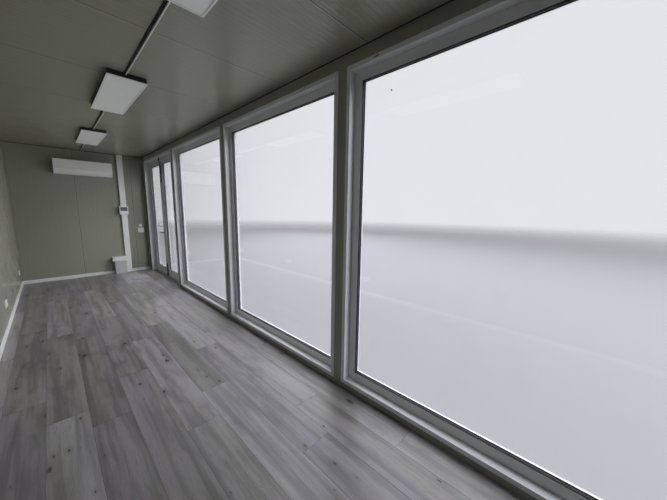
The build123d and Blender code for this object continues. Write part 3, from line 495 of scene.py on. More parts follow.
NODE_MATERIALS = {
    "frame_steel": (
        "base_side_beams", "base_end_beams", "base_corner_blocks", "front_columns", "back_columns",
        "roof_side_beams", "roof_end_beams", "lifting_eyes",
    ),
    "post_sheet": ("front_posts", "front_header", "front_sill"),
    "sheet_roof": ("roof_panels",),
    "sheet_back": ("back_wall",),
    "sheet_end": ("door_end_wall", "plain_end_wall"),
    "sheet_plain": ("front_end_panels", "corner_trims"),
    "galvanised": ("floor_joists",),
    "deck_board": ("floor_deck",),
    "laminate": ("floor_planks",),
    "white_frame": (
        "opening_trims", *WINDOW_FRAMES, "door_jambs", "door_head", "door_leaf_left", "door_leaf_right",
        "door_hinges_frame", "door_hinges_left", "door_hinges_right",
    ),
    "clear_glass": ("window_glass", "door_glass_left", "door_glass_right"),
    "anodised": ("door_threshold",),
    "black_metal": ("door_lever", "door_lock_plates", "top_bolt_rod", "bottom_bolt_rod", "bolt_guides"),
    "light_housing": ("ceiling_lights",),
    "diffuser": ("light_diffusers",),
    "white_plastic": (
        "ceiling_trunking", "wall_trunking", "air_conditioner", "air_conditioner_vane", "light_switch",
        "wall_sockets", "back_skirting", "end_skirting", "floor_box_lid", "control_box",
    ),
    "grey_plastic": ("floor_box",),
    "smoked_window": ("control_box_window",),
}

for key, names in NODE_MATERIALS.items():
    for name in names:
        nodes[name].data.materials.clear()
        nodes[name].data.materials.append(materials[key])


# Softened edges on the rigid nodes

def soften(name, width):
    """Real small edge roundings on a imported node, by modifiers only."""
    piece = nodes[name]
    weld = piece.modifiers.new("weld", "WELD")
    weld.merge_threshold = 0.00001
    flat = piece.modifiers.new("flat", "DECIMATE")
    flat.decimate_type = "DISSOLVE"
    flat.angle_limit = math.radians(0.5)
    edge = piece.modifiers.new("edge", "BEVEL")
    edge.width = width
    edge.segments = 2
    edge.limit_method = "ANGLE"
    edge.angle_limit = math.radians(40)
    edge.use_clamp_overlap = False
    edge.harden_normals = True


EDGE_WIDTHS = {
    0.002: ("base_corner_blocks", "front_columns", "lifting_eyes", "front_posts", "front_header"),
    0.001: (
        *WINDOW_FRAMES, "door_jambs", "wall_trunking", "base_side_beams", "base_end_beams", "front_sill",
    ),
    0.0006: ("opening_trims",),
}
for width, names in EDGE_WIDTHS.items():
    for name in names:
        soften(name, width)


# Mesh helpers

def put_in_scene(name, data):
    """An object of some data, in the scene."""
    made = bpy.data.objects.new(name, data)
    bpy.context.scene.collection.objects.link(made)
    return made


def finish_piece(name, shape, material, body=CABIN):
    """Turn a bmesh into a piece that rides on a body."""
    bmesh.ops.recalc_face_normals(shape, faces=shape.faces)
    mesh = bpy.data.meshes.new(name)
    shape.to_mesh(mesh)
    shape.free()
    mesh.materials.append(materials[material])
    piece = put_in_scene(name, mesh)
    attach(piece, body)
    return piece


def add_band(shape, first, second):
    """Faces between two loops with as many points each."""
    for step in range(len(first)):
        after = (step + 1) % len(first)
        shape.faces.new((first[step], first[after], second[after], second[step]))


def add_closed(shape, first, second):
    """A closed solid between two loops with as many points each."""
    add_band(shape, first, second)
    shape.faces.new(first[::-1])
    shape.faces.new(second)


def add_tube(shape, loops):
    """Bands from each loop to the next, and round to the first again."""
    for first, second in zip(loops, loops[1:] + loops[:1]):
        add_band(shape, first, second)


def rectangle(x0, x1, y0, y1):
    """The corners of a rectangle, in order round it."""
    return ((x0, y0), (x1, y0), (x1, y1), (x0, y1))


def add_box(shape, low, high):
    """A box between two corners."""
    outline = rectangle(low[0], high[0], low[1], high[1])
    add_closed(shape, *[[shape.verts.new((x, y, z)) for x, y in outline] for z in (low[2], high[2])])


def add_ring(shape, low, high, section):
    """An upright rectangular ring with mitred corners. The section's points are (inwards, y)."""
    loops = []
    for inward, y in section:
        outline = rectangle(low.x + inward, high.x - inward, low.z + inward, high.z - inward)
        loops.append([shape.verts.new((x, y, z)) for x, z in outline])
    add_tube(shape, loops)


def add_prism(shape, centre, axis, radius, length, sides, turn=0.0):
    """A closed prism of many sides, from centre along an axis."""
    turned = Vector(axis).to_track_quat("Z", "Y").to_matrix().to_4x4()
    matrix = Matrix.Translation(centre) @ turned
    rings = []
    for height in (0.0, length):
        ring = []
        for step in range(sides):
            angle = turn + math.tau * step / sides
            point = Vector((radius * math.cos(angle), radius * math.sin(angle), height))
            ring.append(shape.verts.new(matrix @ point))
        rings.append(ring)
    add_closed(shape, *rings)


def spans(name):
    """The corners of each stretch of a node along the cabin that stands apart from the next."""
    mesh = nodes[name].data
    reaches = []
    for face in mesh.polygons:
        along = [mesh.vertices[index].co.x for index in face.vertices]
        reaches.append((min(along), max(along)))
    joined = []
    for low, high in sorted(reaches):
        if joined and low < joined[-1][1] + 0.001:
            joined[-1][1] = max(joined[-1][1], high)
        else:
            joined.append([low, high])
    found = []
    for low, high in joined:
        points = [vertex.co for vertex in mesh.vertices if low - 0.0001 < vertex.co.x < high + 0.0001]
        found.append(tuple(Vector([pick(axis) for axis in zip(*points)]) for pick in (min, max)))
    return found


# Laminate boards

BOARD_WIDTH = 0.229
BOARD_LENGTH = 1.83
BOARD_GROOVE = 0.0015
BOARD_GROOVE_DEPTH = 0.0009
FIRST_ROW_OFFSET = -0.017
# Where a board starts in each row, from the camera along the cabin, counted from the glazed front
BOARD_STARTS = (0.8, 1.56, 1.2, 0.43, 0.07, 1.16, 0.58, 0.82, 1.17, 0.45)


def add_board(shape, layers, board, region, tone, cut):
    """The part of one board that lies in a region, with grooves on its own edges only."""
    low_x, high_x, low_y, high_y = board
    x0, x1 = max(low_x, region[0]), min(high_x, region[1])
    y0, y1 = max(low_y, region[2]), min(high_y, region[3])
    if x1 - x0 < BOARD_GROOVE * 2 or y1 - y0 < BOARD_GROOVE * 2:
        return
    own = (x0 == low_x, x1 == high_x, y0 == low_y, y1 == high_y)
    inset = [BOARD_GROOVE if side else 0.0 for side in own]
    outer = rectangle(x0, x1, y0, y1)
    inner = rectangle(x0 + inset[0], x1 - inset[1], y0 + inset[2], y1 - inset[3])
    corners = ((0, 2), (1, 2), (1, 3), (0, 3))
    drop = [BOARD_GROOVE_DEPTH if own[a] or own[b] else 0.0 for a, b in corners]
    bottom_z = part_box("floor_planks")[0].z
    top = [shape.verts.new((x, y, floor_z)) for x, y in inner]
    rim = [shape.verts.new((x, y, floor_z - low)) for (x, y), low in zip(outer, drop)]
    base = [shape.verts.new((x, y, bottom_z)) for x, y in outer]
    add_band(shape, rim, top)
    add_band(shape, base, rim)
    shape.faces.new(top)
    shape.faces.new(base[::-1])
    for vertex in top + rim + base:
        vertex[layers[0]] = tone
        vertex[layers[1]] = cut
    for vertex, low in zip(rim, drop):
        vertex[layers[2]] = 1.0 if low else 0.0


def laminate_boards():
    """Boards in staggered rows along the room and into the doorway."""
    low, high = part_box("floor_planks")
    threshold_low, threshold_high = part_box("door_threshold")
    jamb_low, jamb_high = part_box("door_jambs")
    regions = (
        (room_low_x, room_high_x, room_front_y, high.y),
        (jamb_low.x, threshold_low.x, low.y, room_front_y),
        (threshold_low.x, threshold_high.x, threshold_high.y, room_front_y),
        (threshold_high.x, jamb_high.x, low.y, room_front_y),
    )
    shape = bmesh.new()
    names = (BOARD_TONE, BOARD_CUT, BOARD_EDGE)
    for name in names:
        shape.verts.layers.float.new(name)
    layers = [shape.verts.layers.float[name] for name in names]
    draw = random.Random(11)
    row_y = room_front_y + FIRST_ROW_OFFSET - BOARD_WIDTH
    row = -1
    while row_y < high.y:
        start = CAMERA_PLACE.x + BOARD_STARTS[row % len(BOARD_STARTS)] - 2 * BOARD_LENGTH
        while start < high.x:
            tone = draw.random()
            cut = draw.random()
            board = (start, start + BOARD_LENGTH, row_y, row_y + BOARD_WIDTH)
            for region in regions:
                add_board(shape, layers, board, region, tone, cut)
            start += BOARD_LENGTH
        row_y += BOARD_WIDTH
        row += 1
    empty = [face for face in shape.faces if face.calc_area() < 1e-10]
    bmesh.ops.delete(shape, geom=empty, context="FACES")
    piece = finish_piece("laminate_boards", shape, "laminate")
    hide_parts("floor_planks")


laminate_boards()


# Glazing rubbers and spacer bars

GASKET_WIDTH = 0.005
GASKET_SLOPE = 0.002
GASKET_RISE = 0.002
OUTER_GASKET_RISE = 0.008
SPACER_EDGE = 0.004
PANE = 0.004
REBATE_COVER = 0.011


def glazing_trims(name, glass, body):
    """Rubbers on both faces of each double pane and the spacer bar between the panes."""
    rubbers = bmesh.new()
    spacers = bmesh.new()
    grip = REBATE_COVER + GASKET_WIDTH
    for low, high in spans(glass):
        for face_y, out_y in ((high.y, high.y + GASKET_RISE), (low.y, low.y - OUTER_GASKET_RISE)):
            slope = ((grip, face_y), (grip - GASKET_SLOPE, out_y))
            add_ring(rubbers, low, high, ((REBATE_COVER, face_y), *slope, (REBATE_COVER, out_y)))
        low_y, high_y = low.y + PANE, high.y - PANE
        section = ((SPACER_EDGE, low_y), (SPACER_EDGE, high_y), (REBATE_COVER, high_y), (REBATE_COVER, low_y))
        add_ring(spacers, low, high, section)
    finish_piece(name + "_rubbers", rubbers, "rubber", body)
    finish_piece(name + "_spacers", spacers, "dark_plastic_and_painted_shade", body)


glazing_trims("window", "window_glass", CABIN)
for side, body in LEAVES.items():
    glazing_trims(f"door_{side}", f"door_glass_{side}", body)


# Flat light panels and the cable strip between them

LIGHT_FRAME_HEIGHT = 0.007
LIGHT_BOX_INSET = 0.005
LIGHT_BOX_OVERLAP = 0.001
STRIP_SIDE = 0.007
STRIP_WIDTH = 0.007
CAP_HEIGHT = 0.004
CAP_STEP = 0.0006
CAP_CORNER_WIDTH = 0.001
CAP_CORNER_HEIGHT = 0.0012
STRIP_SHADOW_DEPTH = 0.006
STRIP_SHADOW_OVERLAP = 0.0005
# How near the wall a stretch of the strip has to end to stop there and not at a light
WALL_REACH = 0.01


def light_panels():
    """Each panel is a slim white frame under the box that holds it to the ceiling, black as painted shade."""
    frames = bmesh.new()
    boxes = bmesh.new()
    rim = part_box("light_diffusers")[0].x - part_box("ceiling_lights")[0].x
    inset = Vector((LIGHT_BOX_INSET, LIGHT_BOX_INSET, 0.0))
    for low, high in spans("ceiling_lights"):
        top_z = low.z + LIGHT_FRAME_HEIGHT
        for x0, x1, y0, y1 in (
            (low.x, high.x, low.y, low.y + rim),
            (low.x, high.x, high.y - rim, high.y),
            (low.x, low.x + rim, low.y + rim, high.y - rim),
            (high.x - rim, high.x, low.y + rim, high.y - rim),
        ):
            add_box(frames, (x0, y0, low.z), (x1, y1, top_z))
        # Painted shade: the box is black so that the gap between the frame and the ceiling reads dark.
        add_box(boxes, Vector((low.x, low.y, top_z - LIGHT_BOX_OVERLAP)) + inset, high - inset)
    frame_piece = finish_piece("light_frames", frames, "light_housing")
    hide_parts("ceiling_lights")
    shade_box_piece = finish_piece("light_shade_boxes", boxes, "dark_plastic_and_painted_shade")
    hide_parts("ceiling_lights")


def mini_trunking():
    """Cable strip from light to light and on to the end wall: a slim pale lip, and beside it a dark strip of
    painted shadow.
    """
    lip = bmesh.new()
    base = bmesh.new()
    node_low, node_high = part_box("ceiling_trunking")
    y0 = node_low.y + STRIP_SIDE
    y1 = y0 + STRIP_WIDTH
    cap_y0, cap_y1 = y0 - CAP_STEP, y1 + CAP_STEP
    for low, high in spans("ceiling_trunking"):
        x0 = low.x - LIGHT_BOX_INSET
        x1 = high.x if high.x > room_high_x - WALL_REACH else high.x + LIGHT_BOX_INSET
        cap_z = low.z + CAP_HEIGHT
        corner_z = low.z + CAP_CORNER_HEIGHT
        section = (
            (y0, high.z), (y0, cap_z), (cap_y0, cap_z), (cap_y0, corner_z),
            (y0 + CAP_CORNER_WIDTH, low.z), (y1 - CAP_CORNER_WIDTH, low.z),
            (cap_y1, corner_z), (cap_y1, cap_z), (y1, cap_z), (y1, high.z),
        )
        add_closed(lip, *[[lip.verts.new((x, y, z)) for y, z in section] for x in (x0, x1)])
        # Painted shadow: the dark strip stands for the shaded side of the lip and its shadow on the ceiling.
        shadow_low = (x0, y1 - STRIP_SHADOW_OVERLAP, high.z - STRIP_SHADOW_DEPTH)
        add_box(base, shadow_low, (x1, node_high.y, high.z))
    lip_piece = finish_piece("trunking_lip", lip, "white_plastic")
    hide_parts("ceiling_trunking")
    shadow_piece = finish_piece("trunking_painted_shadow", base, "dark_plastic_and_painted_shade")
    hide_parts("ceiling_trunking")


light_panels()
mini_trunking()


# Control box: a flap over breakers that step out towards the room, and cover screws

FLAP_SHEET = 0.0012
BREAKER_WIDTH = 0.0175
BREAKER_ROOM = 0.008
BREAKER_GAP = 0.0004
# Front, back and half the height of each step of a breaker, the first two measured from the window's back
BREAKER_STEPS = ((0.0015, 0.0, 0.03), (0.0026, 0.0015, 0.016))
TOGGLE_FRONT = 0.0034
TOGGLE_SIDE = 0.0046
TOGGLE_LOW = -0.001
TOGGLE_HIGH = 0.009
COVER_SCREW_SIDE = 0.018
COVER_SCREW_UP = 0.03
COVER_SCREW_RADIUS = 0.0045
COVER_SCREW_RISE = 0.0008
COVER_SCREW_LENGTH = 0.001


def control_box_flap():
    """Thin smoked flap over the breakers."""
    low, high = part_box("control_box_window")
    shape = bmesh.new()
    add_box(shape, low, (low.x + FLAP_SHEET, high.y, high.z))
    flap = finish_piece("control_box_flap", shape, "smoked_window")
    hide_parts("control_box_window")


def breakers():
    """Row of breakers behind the flap, each with a dark toggle."""
    low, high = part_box("control_box_window")
    bodies = bmesh.new()
    toggles = bmesh.new()
    count = int((high.y - low.y - BREAKER_ROOM) / BREAKER_WIDTH)
    first_y = (low.y + high.y - count * BREAKER_WIDTH) / 2
    middle = (low.z + high.z) / 2
    for step in range(count):
        y0 = first_y + step * BREAKER_WIDTH + BREAKER_GAP
        y1 = y0 + BREAKER_WIDTH - 2 * BREAKER_GAP
        for front, back, half in BREAKER_STEPS:
            add_box(bodies, (high.x - front, y0, middle - half), (high.x - back, y1, middle + half))
        low_corner = (high.x - TOGGLE_FRONT, y0 + TOGGLE_SIDE, middle + TOGGLE_LOW)
        add_box(toggles, low_corner, (high.x - BREAKER_STEPS[-1][0], y1 - TOGGLE_SIDE, middle + TOGGLE_HIGH))
    finish_piece("breakers", bodies, "white_plastic")
    finish_piece("breaker_toggles", toggles, "dark_plastic_and_painted_shade")


def control_box_screws():
    """Two cover screws under the flap."""
    low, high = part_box("control_box")
    shape = bmesh.new()
    for y in (low.y + COVER_SCREW_SIDE, high.y - COVER_SCREW_SIDE):
        centre = (low.x - COVER_SCREW_RISE, y, low.z + COVER_SCREW_UP)
        add_prism(shape, centre, (1, 0, 0), COVER_SCREW_RADIUS, COVER_SCREW_LENGTH, 12)
    finish_piece("control_box_screws", shape, "screw_steel")


control_box_flap()
breakers()
control_box_screws()


# Air conditioner, sockets and the painted shade in the ceiling corner

LINE_RISE = 0.0002
SEAM_UP = 0.122
SEAM_END = 0.012
SEAM_WIDTH = 0.0014
SEAM_DEPTH = 0.002
SLOT_PITCH = 0.022
SLOT_WIDTH = 0.014
SLOT_LENGTH = 0.055
SLOT_DEPTH = 0.001
SLOT_END = 0.05
SLOT_ROWS = (0.05, 0.12)
WELL_DEPTH = 0.006
WELL_SIDE = 0.04
PIN_SIDE = 0.0095
PIN_RADIUS = 0.0027
PIN_SINK = 0.0002
PIN_LENGTH = 0.0006
CLIP_UP = 0.0185
CLIP_HALF = Vector((0.003, 0.0, 0.001))
CLIP_DEPTH = 0.004
SHADE_BEAD_SIZE = 0.007


def air_conditioner_lines():
    """Seam of the front cover and the intake slots on top."""
    low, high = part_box("air_conditioner")
    lines = bmesh.new()
    seam_z = low.z + SEAM_UP
    seam_low = (low.x - LINE_RISE, low.y + SEAM_END, seam_z)
    add_box(lines, seam_low, (low.x + SEAM_DEPTH, high.y - SEAM_END, seam_z + SEAM_WIDTH))
    for step in range(int((high.y - low.y - 2 * SLOT_END) / SLOT_PITCH)):
        y = low.y + SLOT_END + step * SLOT_PITCH
        for row in SLOT_ROWS:
            x = low.x + row
            add_box(
                lines,
                (x, y, high.z - SLOT_DEPTH),
                (x + SLOT_LENGTH, y + SLOT_WIDTH, high.z + LINE_RISE),
            )
    finish_piece("air_conditioner_lines", lines, "dark_plastic_and_painted_shade")


def socket_details():
    """Pin holes and earth clips in the round wells of the sockets."""
    holes = bmesh.new()
    clips = bmesh.new()
    for low, high in spans("wall_sockets"):
        well_y = low.y + WELL_DEPTH
        for side in (-WELL_SIDE, WELL_SIDE):
            middle = Vector(((low.x + high.x) / 2 + side, well_y, (low.z + high.z) / 2))
            for pin in (-PIN_SIDE, PIN_SIDE):
                centre = middle + Vector((pin, PIN_SINK, 0))
                add_prism(holes, centre, (0, -1, 0), PIN_RADIUS, PIN_LENGTH, 12)
            for up in (-CLIP_UP, CLIP_UP):
                centre = middle + Vector((0, 0, up))
                add_box(clips, centre - CLIP_HALF - Vector((0, CLIP_DEPTH, 0)), centre + CLIP_HALF)
    finish_piece("socket_holes", holes, "dark_plastic_and_painted_shade")
    finish_piece("socket_clips", clips, "screw_steel")


def ceiling_shade_bead():
    """Dark bead in the corner between the ceiling and the walls, all round the room: painted shade of the
    corner.
    """
    shape = bmesh.new()
    loops = []
    for x, y, inward_x, inward_y in (
        (room_low_x, room_front_y, 1, 1), (room_high_x, room_front_y, -1, 1),
        (room_high_x, room_back_y, -1, -1), (room_low_x, room_back_y, 1, -1),
    ):
        section = (
            (x, y, ceiling_z),
            (x + inward_x * SHADE_BEAD_SIZE, y + inward_y * SHADE_BEAD_SIZE, ceiling_z),
            (x, y, ceiling_z - SHADE_BEAD_SIZE),
        )
        loops.append([shape.verts.new(point) for point in section])
    add_tube(shape, loops)
    finish_piece("ceiling_shade_bead", shape, "rubber")


air_conditioner_lines()
socket_details()
ceiling_shade_bead()


# Door hardware and seals

CYLINDER_DROP = 0.085
CYLINDER_RADIUS = 0.0085
CYLINDER_LENGTH = 0.003
LOCK_PLATE_RADIUS = 0.014
LOCK_PLATE_HALF = 0.012
LOCK_PLATE_SHEET = 0.005
LOCK_PLATE_STEPS = 12
KEEPER_ROOM = 0.003
KEEPER_CHEEK = 0.006
KEEPER_SHEET = 0.003
KEEPER_TOP = 0.006
KEEPER_FOOT = 0.004
BOLT_PLATE_SHEET = 0.0015
BOLT_PLATE_END = 0.009
SEAL_EDGE = 0.001
SEAL_WIDTH = 0.006
SEAL_DEPTH = 0.0042
STOP_ROOM = 0.005
BRUSH_END = 0.006
BRUSH_HALF = 0.005
BRUSH_DROP = 0.0065
LIP_REACH = 0.0028
LIP_GRIP = 0.0035
LIP_HALF = 0.006


def lock_cylinders():
    """Oval plates with the key cylinder under the lever, on both faces of the right leaf."""
    plates = bmesh.new()
    barrels = bmesh.new()
    leaf_low, leaf_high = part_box("door_leaf_right")
    rose_low, rose_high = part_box("door_lock_plates")
    x = (rose_low.x + rose_high.x) / 2
    z = (rose_low.z + rose_high.z) / 2 - CYLINDER_DROP
    outline = []
    for centre_z, start in ((z + LOCK_PLATE_HALF, 0.0), (z - LOCK_PLATE_HALF, math.pi)):
        for step in range(LOCK_PLATE_STEPS + 1):
            angle = start + math.pi * step / LOCK_PLATE_STEPS
            reach = LOCK_PLATE_RADIUS * Vector((math.cos(angle), math.sin(angle)))
            outline.append((x + reach.x, centre_z + reach.y))
    for face_y, side in ((leaf_high.y, 1), (leaf_low.y, -1)):
        plate_y = face_y + side * LOCK_PLATE_SHEET
        rings = [[plates.verts.new((px, y, pz)) for px, pz in outline] for y in (face_y, plate_y)]
        add_closed(plates, *rings)
        add_prism(barrels, (x, plate_y, z), (0, side, 0), CYLINDER_RADIUS, CYLINDER_LENGTH, 24)
    finish_piece("lock_plates", plates, "black_metal", RIGHT_LEAF)
    finish_piece("lock_cylinders", barrels, "screw_steel", RIGHT_LEAF)


def bolt_keeper():
    """Strap on the door head that the top bolt slides up behind."""
    shape = bmesh.new()
    guide_low, guide_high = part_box("bolt_guides")
    head_low, head_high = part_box("door_head")
    strap_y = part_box("top_bolt_rod")[1].y + KEEPER_ROOM
    low_z = head_low.z + KEEPER_FOOT
    top_z = head_high.z - KEEPER_TOP
    for x in (guide_low.x, guide_high.x - KEEPER_CHEEK):
        add_box(shape, (x, head_high.y, low_z), (x + KEEPER_CHEEK, strap_y, top_z))
    add_box(shape, (guide_low.x, strap_y, low_z), (guide_high.x, strap_y + KEEPER_SHEET, top_z))
    finish_piece("bolt_keeper", shape, "black_metal")


def bolt_plates():
    """Black plates on the leaf behind the bare ends of the two bolt rods."""
    shape = bmesh.new()
    guide_low, guide_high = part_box("bolt_guides")
    leaf_low, leaf_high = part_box("door_leaf_left")
    for low_z, high_z in (
        (leaf_low.z + BOLT_PLATE_END, guide_low.z),
        (guide_high.z, leaf_high.z - BOLT_PLATE_END),
    ):
        plate_high = (guide_high.x, leaf_high.y + BOLT_PLATE_SHEET, high_z)
        add_box(shape, (guide_low.x, leaf_high.y, low_z), plate_high)
    finish_piece("bolt_plates", shape, "black_metal", LEFT_LEAF)


def door_seal():
    """Rubber on the stop, up both jambs and across the head."""
    shape = bmesh.new()
    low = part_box("door_leaf_left")[0]
    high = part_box("door_leaf_right")[1]
    stop_y = high.y + STOP_ROOM
    seal_y = stop_y - SEAL_DEPTH
    top_z = high.z - SEAL_EDGE
    low_x, high_x = low.x + SEAL_EDGE, high.x - SEAL_EDGE
    for x in (low_x, high_x - SEAL_WIDTH):
        add_box(shape, (x, seal_y, low.z), (x + SEAL_WIDTH, stop_y, top_z))
    head_low = (low_x + SEAL_WIDTH, seal_y, top_z - SEAL_WIDTH)
    add_box(shape, head_low, (high_x - SEAL_WIDTH, stop_y, top_z))
    finish_piece("door_seal", shape, "rubber")


def door_brushes():
    """A brush under each leaf."""
    for side, body in LEAVES.items():
        low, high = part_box(f"door_leaf_{side}")
        shape = bmesh.new()
        middle = (low.y + high.y) / 2
        brush_low = (low.x + BRUSH_END, middle - BRUSH_HALF, low.z - BRUSH_DROP)
        add_box(shape, brush_low, (high.x - BRUSH_END, middle + BRUSH_HALF, low.z))
        finish_piece(f"brush_{side}", shape, "rubber", body)


def meeting_lip():
    """Rubber lip on the edge of the right leaf where the two meet."""
    low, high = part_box("door_leaf_right")
    shape = bmesh.new()
    middle = (low.y + high.y) / 2
    lip_low = (low.x - LIP_REACH, middle - LIP_HALF, low.z)
    add_box(shape, lip_low, (low.x + LIP_GRIP, middle + LIP_HALF, high.z))
    finish_piece("meeting_lip", shape, "rubber", RIGHT_LEAF)


lock_cylinders()
bolt_keeper()
bolt_plates()
door_seal()
door_brushes()
meeting_lip()


# Mitre joints in the frames and trims, and marks

WINDOW_SIGHT = 0.07
DOOR_SIGHT = 0.06
MITRE_WIDTH = 0.0009
MITRE_RISE = 0.0002
MITRE_START = 0.004
MITRE_LAP = 0.002
LINE_SINK = 0.001
# Marks on the window beside the camera: the ends (x, z) of a scuff on its top trim and the middle of a speck
SCUFF = ((-2.404, 2.755), (-2.447, 2.759))
SCUFF_WIDTH = 0.007
SCUFF_RISE = 0.0004
SPECK = (-2.515, 2.537)
SPECK_RADIUS = 0.006
SPECK_SINK = 0.0002
SPECK_THICKNESS = 0.001


def add_line(shape, y, start, end, width, rise):
    """A thin flat strip on a face that looks at the room, between two (x, z) points."""
    start, end = (Vector((x, y, z)) for x, z in (start, end))
    across = (end - start).cross(Vector((0, 1, 0))).normalized() * width / 2
    outline = (start - across, end - across, end + across, start + across)
    steps = (Vector((0, -LINE_SINK, 0)), Vector((0, rise, 0)))
    add_closed(shape, *[[shape.verts.new(point + step) for point in outline] for step in steps])


def mitre_lines():
    """Dark hairlines where the frames and the folded trims meet at the corners."""
    shape = bmesh.new()
    trim_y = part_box("opening_trims")[1].y
    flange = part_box("window_frame_1")[0].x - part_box("opening_trims")[0].x
    for name in (*WINDOW_FRAMES, "door_jambs"):
        low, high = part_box(name)
        is_door = name == "door_jambs"
        sight = DOOR_SIGHT if is_door else WINDOW_SIGHT
        for x, inward_x in ((low.x, 1), (high.x, -1)):
            for z, inward_z in ((high.z, -1),) if is_door else ((low.z, 1), (high.z, -1)):
                for y, outer, inner in ((high.y, MITRE_START, sight), (trim_y, -flange, MITRE_LAP)):
                    start = (x + inward_x * outer, z + inward_z * outer)
                    end = (x + inward_x * inner, z + inward_z * inner)
                    add_line(shape, y, start, end, MITRE_WIDTH, MITRE_RISE)
    finish_piece("mitre_lines", shape, "rubber")


def window_marks():
    """A dark scuff on the top trim and a speck stuck to the pane."""
    shape = bmesh.new()
    add_line(shape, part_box("opening_trims")[1].y, *SCUFF, SCUFF_WIDTH, SCUFF_RISE)
    x, z = SPECK
    centre = (x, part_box("window_glass")[1].y - SPECK_SINK, z)
    add_prism(shape, centre, (0, 1, 0), SPECK_RADIUS, SPECK_THICKNESS, 9, turn=0.3)
    finish_piece("window_marks", shape, "rubber")


mitre_lines()
window_marks()


# Fixings on the roof

ROOF_SCREW_PITCH = CEILING_PANEL / 4
ROOF_SCREW_ROWS = 4
ROOF_SCREW_SIDE = 0.16
ROOF_SCREW_END = 0.05
WASHER_RADIUS = 0.0085
WASHER_SINK = 0.0005
WASHER_SHEET = 0.002
HEAD_RADIUS = 0.0048
HEAD_HEIGHT = 0.0045


def roof_screws():
    """Hexagon screws on washers along the ribs of the roof sheet."""
    low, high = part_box("roof_panels")
    shape = bmesh.new()
    row_pitch = (high.y - low.y - 2 * ROOF_SCREW_SIDE) / (ROOF_SCREW_ROWS - 1)
    washer_z = high.z - WASHER_SINK
    head_z = washer_z + WASHER_SHEET
    first_x = CEILING_JOINT_X + ROOF_SCREW_PITCH / 2
    x = first_x + math.floor((high.x - ROOF_SCREW_END - first_x) / ROOF_SCREW_PITCH) * ROOF_SCREW_PITCH
    while x > low.x + ROOF_SCREW_END:
        for row in range(ROOF_SCREW_ROWS):
            y = low.y + ROOF_SCREW_SIDE + row * row_pitch
            add_prism(shape, (x, y, washer_z), (0, 0, 1), WASHER_RADIUS, WASHER_SHEET, 16)
            add_prism(shape, (x, y, head_z), (0, 0, 1), HEAD_RADIUS, HEAD_HEIGHT, 6)
        x -= ROOF_SCREW_PITCH
    finish_piece("roof_screws", shape, "screw_steel")


roof_screws()


# Surroundings, light and camera

STAGE_RADIUS = 60.0
STAGE_SINK = 0.001
STAGE_FADE_START = 9.0
STAGE_FADE_END = 45.0


def stage_floor():
    """Pale floor that fades into the background far out, darker for the light that it sends back."""
    shape = bmesh.new()
    bmesh.ops.create_circle(shape, cap_ends=True, segments=64, radius=STAGE_RADIUS)
    mesh = bpy.data.meshes.new("stage_floor")
    shape.to_mesh(mesh)
    shape.free()
    floor = put_in_scene("stage_floor", mesh)
    floor.location.z = -STAGE_SINK
    made, tree, shader = new_material("stage_floor")
    shade = mix(tree, seen_ray(tree), (0.2, 0.2, 0.2), (0.42, 0.42, 0.425))
    matt = add(tree, "BsdfDiffuse", {"Color": shade})
    gone = add(tree, "BsdfTransparent")
    away = add(tree, "VectorMath", {0: place(tree)}, operation="LENGTH").outputs["Value"]
    fade = remap(tree, away, STAGE_FADE_START, STAGE_FADE_END)
    replace_shader(tree, shader, add(tree, "MixShader", {0: fade, 1: matt.outputs[0], 2: gone.outputs[0]}))
    mesh.materials.append(made)


def background():
    """Even pale surroundings, a little dimmer as light than as they are seen."""
    world = bpy.data.worlds.new("surroundings")
    bpy.context.scene.world = world
    world.use_nodes = True
    tree = world.node_tree
    shade = mix(tree, seen_ray(tree), (0.62, 0.63, 0.66), (0.9, 0.91, 0.95))
    tree.links.new(shade, tree.nodes["Background"].inputs["Color"])
    world.cycles.sampling_method = "NONE"


# Tints of the lamps, and the sky lamps: name, place, aim, width, height and radiance
DAYLIGHT = (0.97, 0.975, 0.985)
SKYLIGHT = (0.9, 0.91, 1.0)
PLAIN_LIGHT = (1.0, 1.0, 1.0)
SKY_LAMPS = (
    ("side_sky", (-16.0, -5.0, 9.0), (0.0, -1.0, 1.0), 8.0, 6.0, 14.0),
    ("front_sky", (2.0, -10.5, 10.5), (0.5, -1.0, 1.0), 14.0, 5.0, 2.6),
    ("steep_sky", (4.5, -4.4, 13.0), (3.0, -1.0, 1.0), 14.0, 2.6, 9.5),
    ("door_sky", (9.5, -12.5, 7.0), (3.2, -1.0, 0.6), 6.0, 4.0, 7.0),
)
BACK_LAMP = ("back_sky", (-4.0, 9.0, 8.0), (0.0, 0.0, 1.5), 9.0, 5.0, 0.7)
# Daylight in the windows: its radiance at the middle of the cabin and what each metre towards the door adds
WINDOW_RADIANCE = 1.38
WINDOW_RADIANCE_RISE = 0.17
WINDOW_LAMP_TILT = math.radians(17)
WINDOW_LAMP_GAP = 0.004


def area_lamp(name, centre, aim, width, height, radiance, tint):
    """A soft rectangular lamp of an even radiance."""
    data = bpy.data.lights.new(name, "AREA")
    data.shape = "RECTANGLE"
    data.size = width
    data.size_y = height
    data.energy = radiance * math.pi * width * height
    data.color = tint
    lamp = put_in_scene(name, data)
    lamp.location = centre
    lamp.rotation_mode = "QUATERNION"
    lamp.rotation_quaternion = (Vector(aim) - Vector(centre)).to_track_quat("-Z", "Y")
    lamp.visible_camera = False
    return lamp


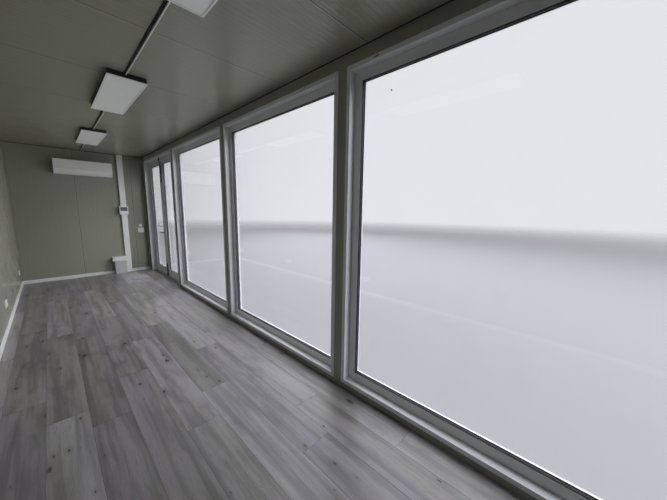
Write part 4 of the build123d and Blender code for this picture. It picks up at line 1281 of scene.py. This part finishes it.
def window_lamps():
    """Daylight for the room: strips across the outside of each pane, like louvres open a little downwards.

    They stay within the depth of the frames, so that they light nothing but the room.
    """
    inwards = Vector((0, math.cos(WINDOW_LAMP_TILT), -math.sin(WINDOW_LAMP_TILT)))
    panes = {"window_glass": WINDOW_FRAMES[0]}
    panes.update({f"door_glass_{side}": f"door_leaf_{side}" for side in LEAVES})
    for glass, face in panes.items():
        near_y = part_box(glass)[0].y - WINDOW_LAMP_GAP
        depth = near_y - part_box(face)[0].y
        for low, high in spans(glass):
            width = high.x - low.x - 2 * REBATE_COVER
            height = high.z - low.z - 2 * REBATE_COVER
            count = math.ceil(height * math.tan(WINDOW_LAMP_TILT) / depth)
            rise = height / count
            slant = rise / math.cos(WINDOW_LAMP_TILT)
            for step in range(count):
                z = low.z + REBATE_COVER + (step + 0.5) * rise
                centre = Vector(((low.x + high.x) / 2, near_y - depth / 2, z))
                radiance = WINDOW_RADIANCE + WINDOW_RADIANCE_RISE * centre.x
                lamp = area_lamp("daylight", centre, centre + inwards, width, slant, radiance, DAYLIGHT)
                lamp.visible_glossy = False


def lights():
    """Soft lamps before and behind the cabin, and daylight in the openings."""
    for name, centre, aim, width, height, radiance in SKY_LAMPS:
        lamp = area_lamp(name, centre, aim, width, height, radiance, SKYLIGHT)
        lamp.data.cycles.use_multiple_importance_sampling = False
    area_lamp(*BACK_LAMP, PLAIN_LIGHT)
    window_lamps()


def camera():
    """The photograph's viewpoint, inside the room."""
    yaw, pitch, roll = (math.radians(v) for v in (CAMERA_YAW, CAMERA_PITCH, CAMERA_ROLL))
    ahead = Vector((math.cos(pitch) * math.cos(yaw), math.cos(pitch) * math.sin(yaw), math.sin(pitch)))
    right = ahead.cross(Vector((0, 0, 1))).normalized()
    up = right.cross(ahead)
    rolled_right = right * math.cos(roll) + up * math.sin(roll)
    rolled_up = up * math.cos(roll) - right * math.sin(roll)
    data = bpy.data.cameras.new("camera")
    data.sensor_width = SENSOR_WIDTH
    data.lens = CAMERA_FOCAL_PIXELS / PHOTO_WIDTH * SENSOR_WIDTH
    data.clip_start = 0.02
    viewer = put_in_scene("camera", data)
    rows = [(rolled_right[i], rolled_up[i], -ahead[i], CAMERA_PLACE[i]) for i in range(3)]
    viewer.matrix_world = Matrix(rows + [(0, 0, 0, 1)])
    bpy.context.scene.camera = viewer


stage_floor()
background()
lights()
camera()
scene = bpy.context.scene
scene.view_settings.view_transform = "Standard"
scene.cycles.transparent_max_bounces = 32
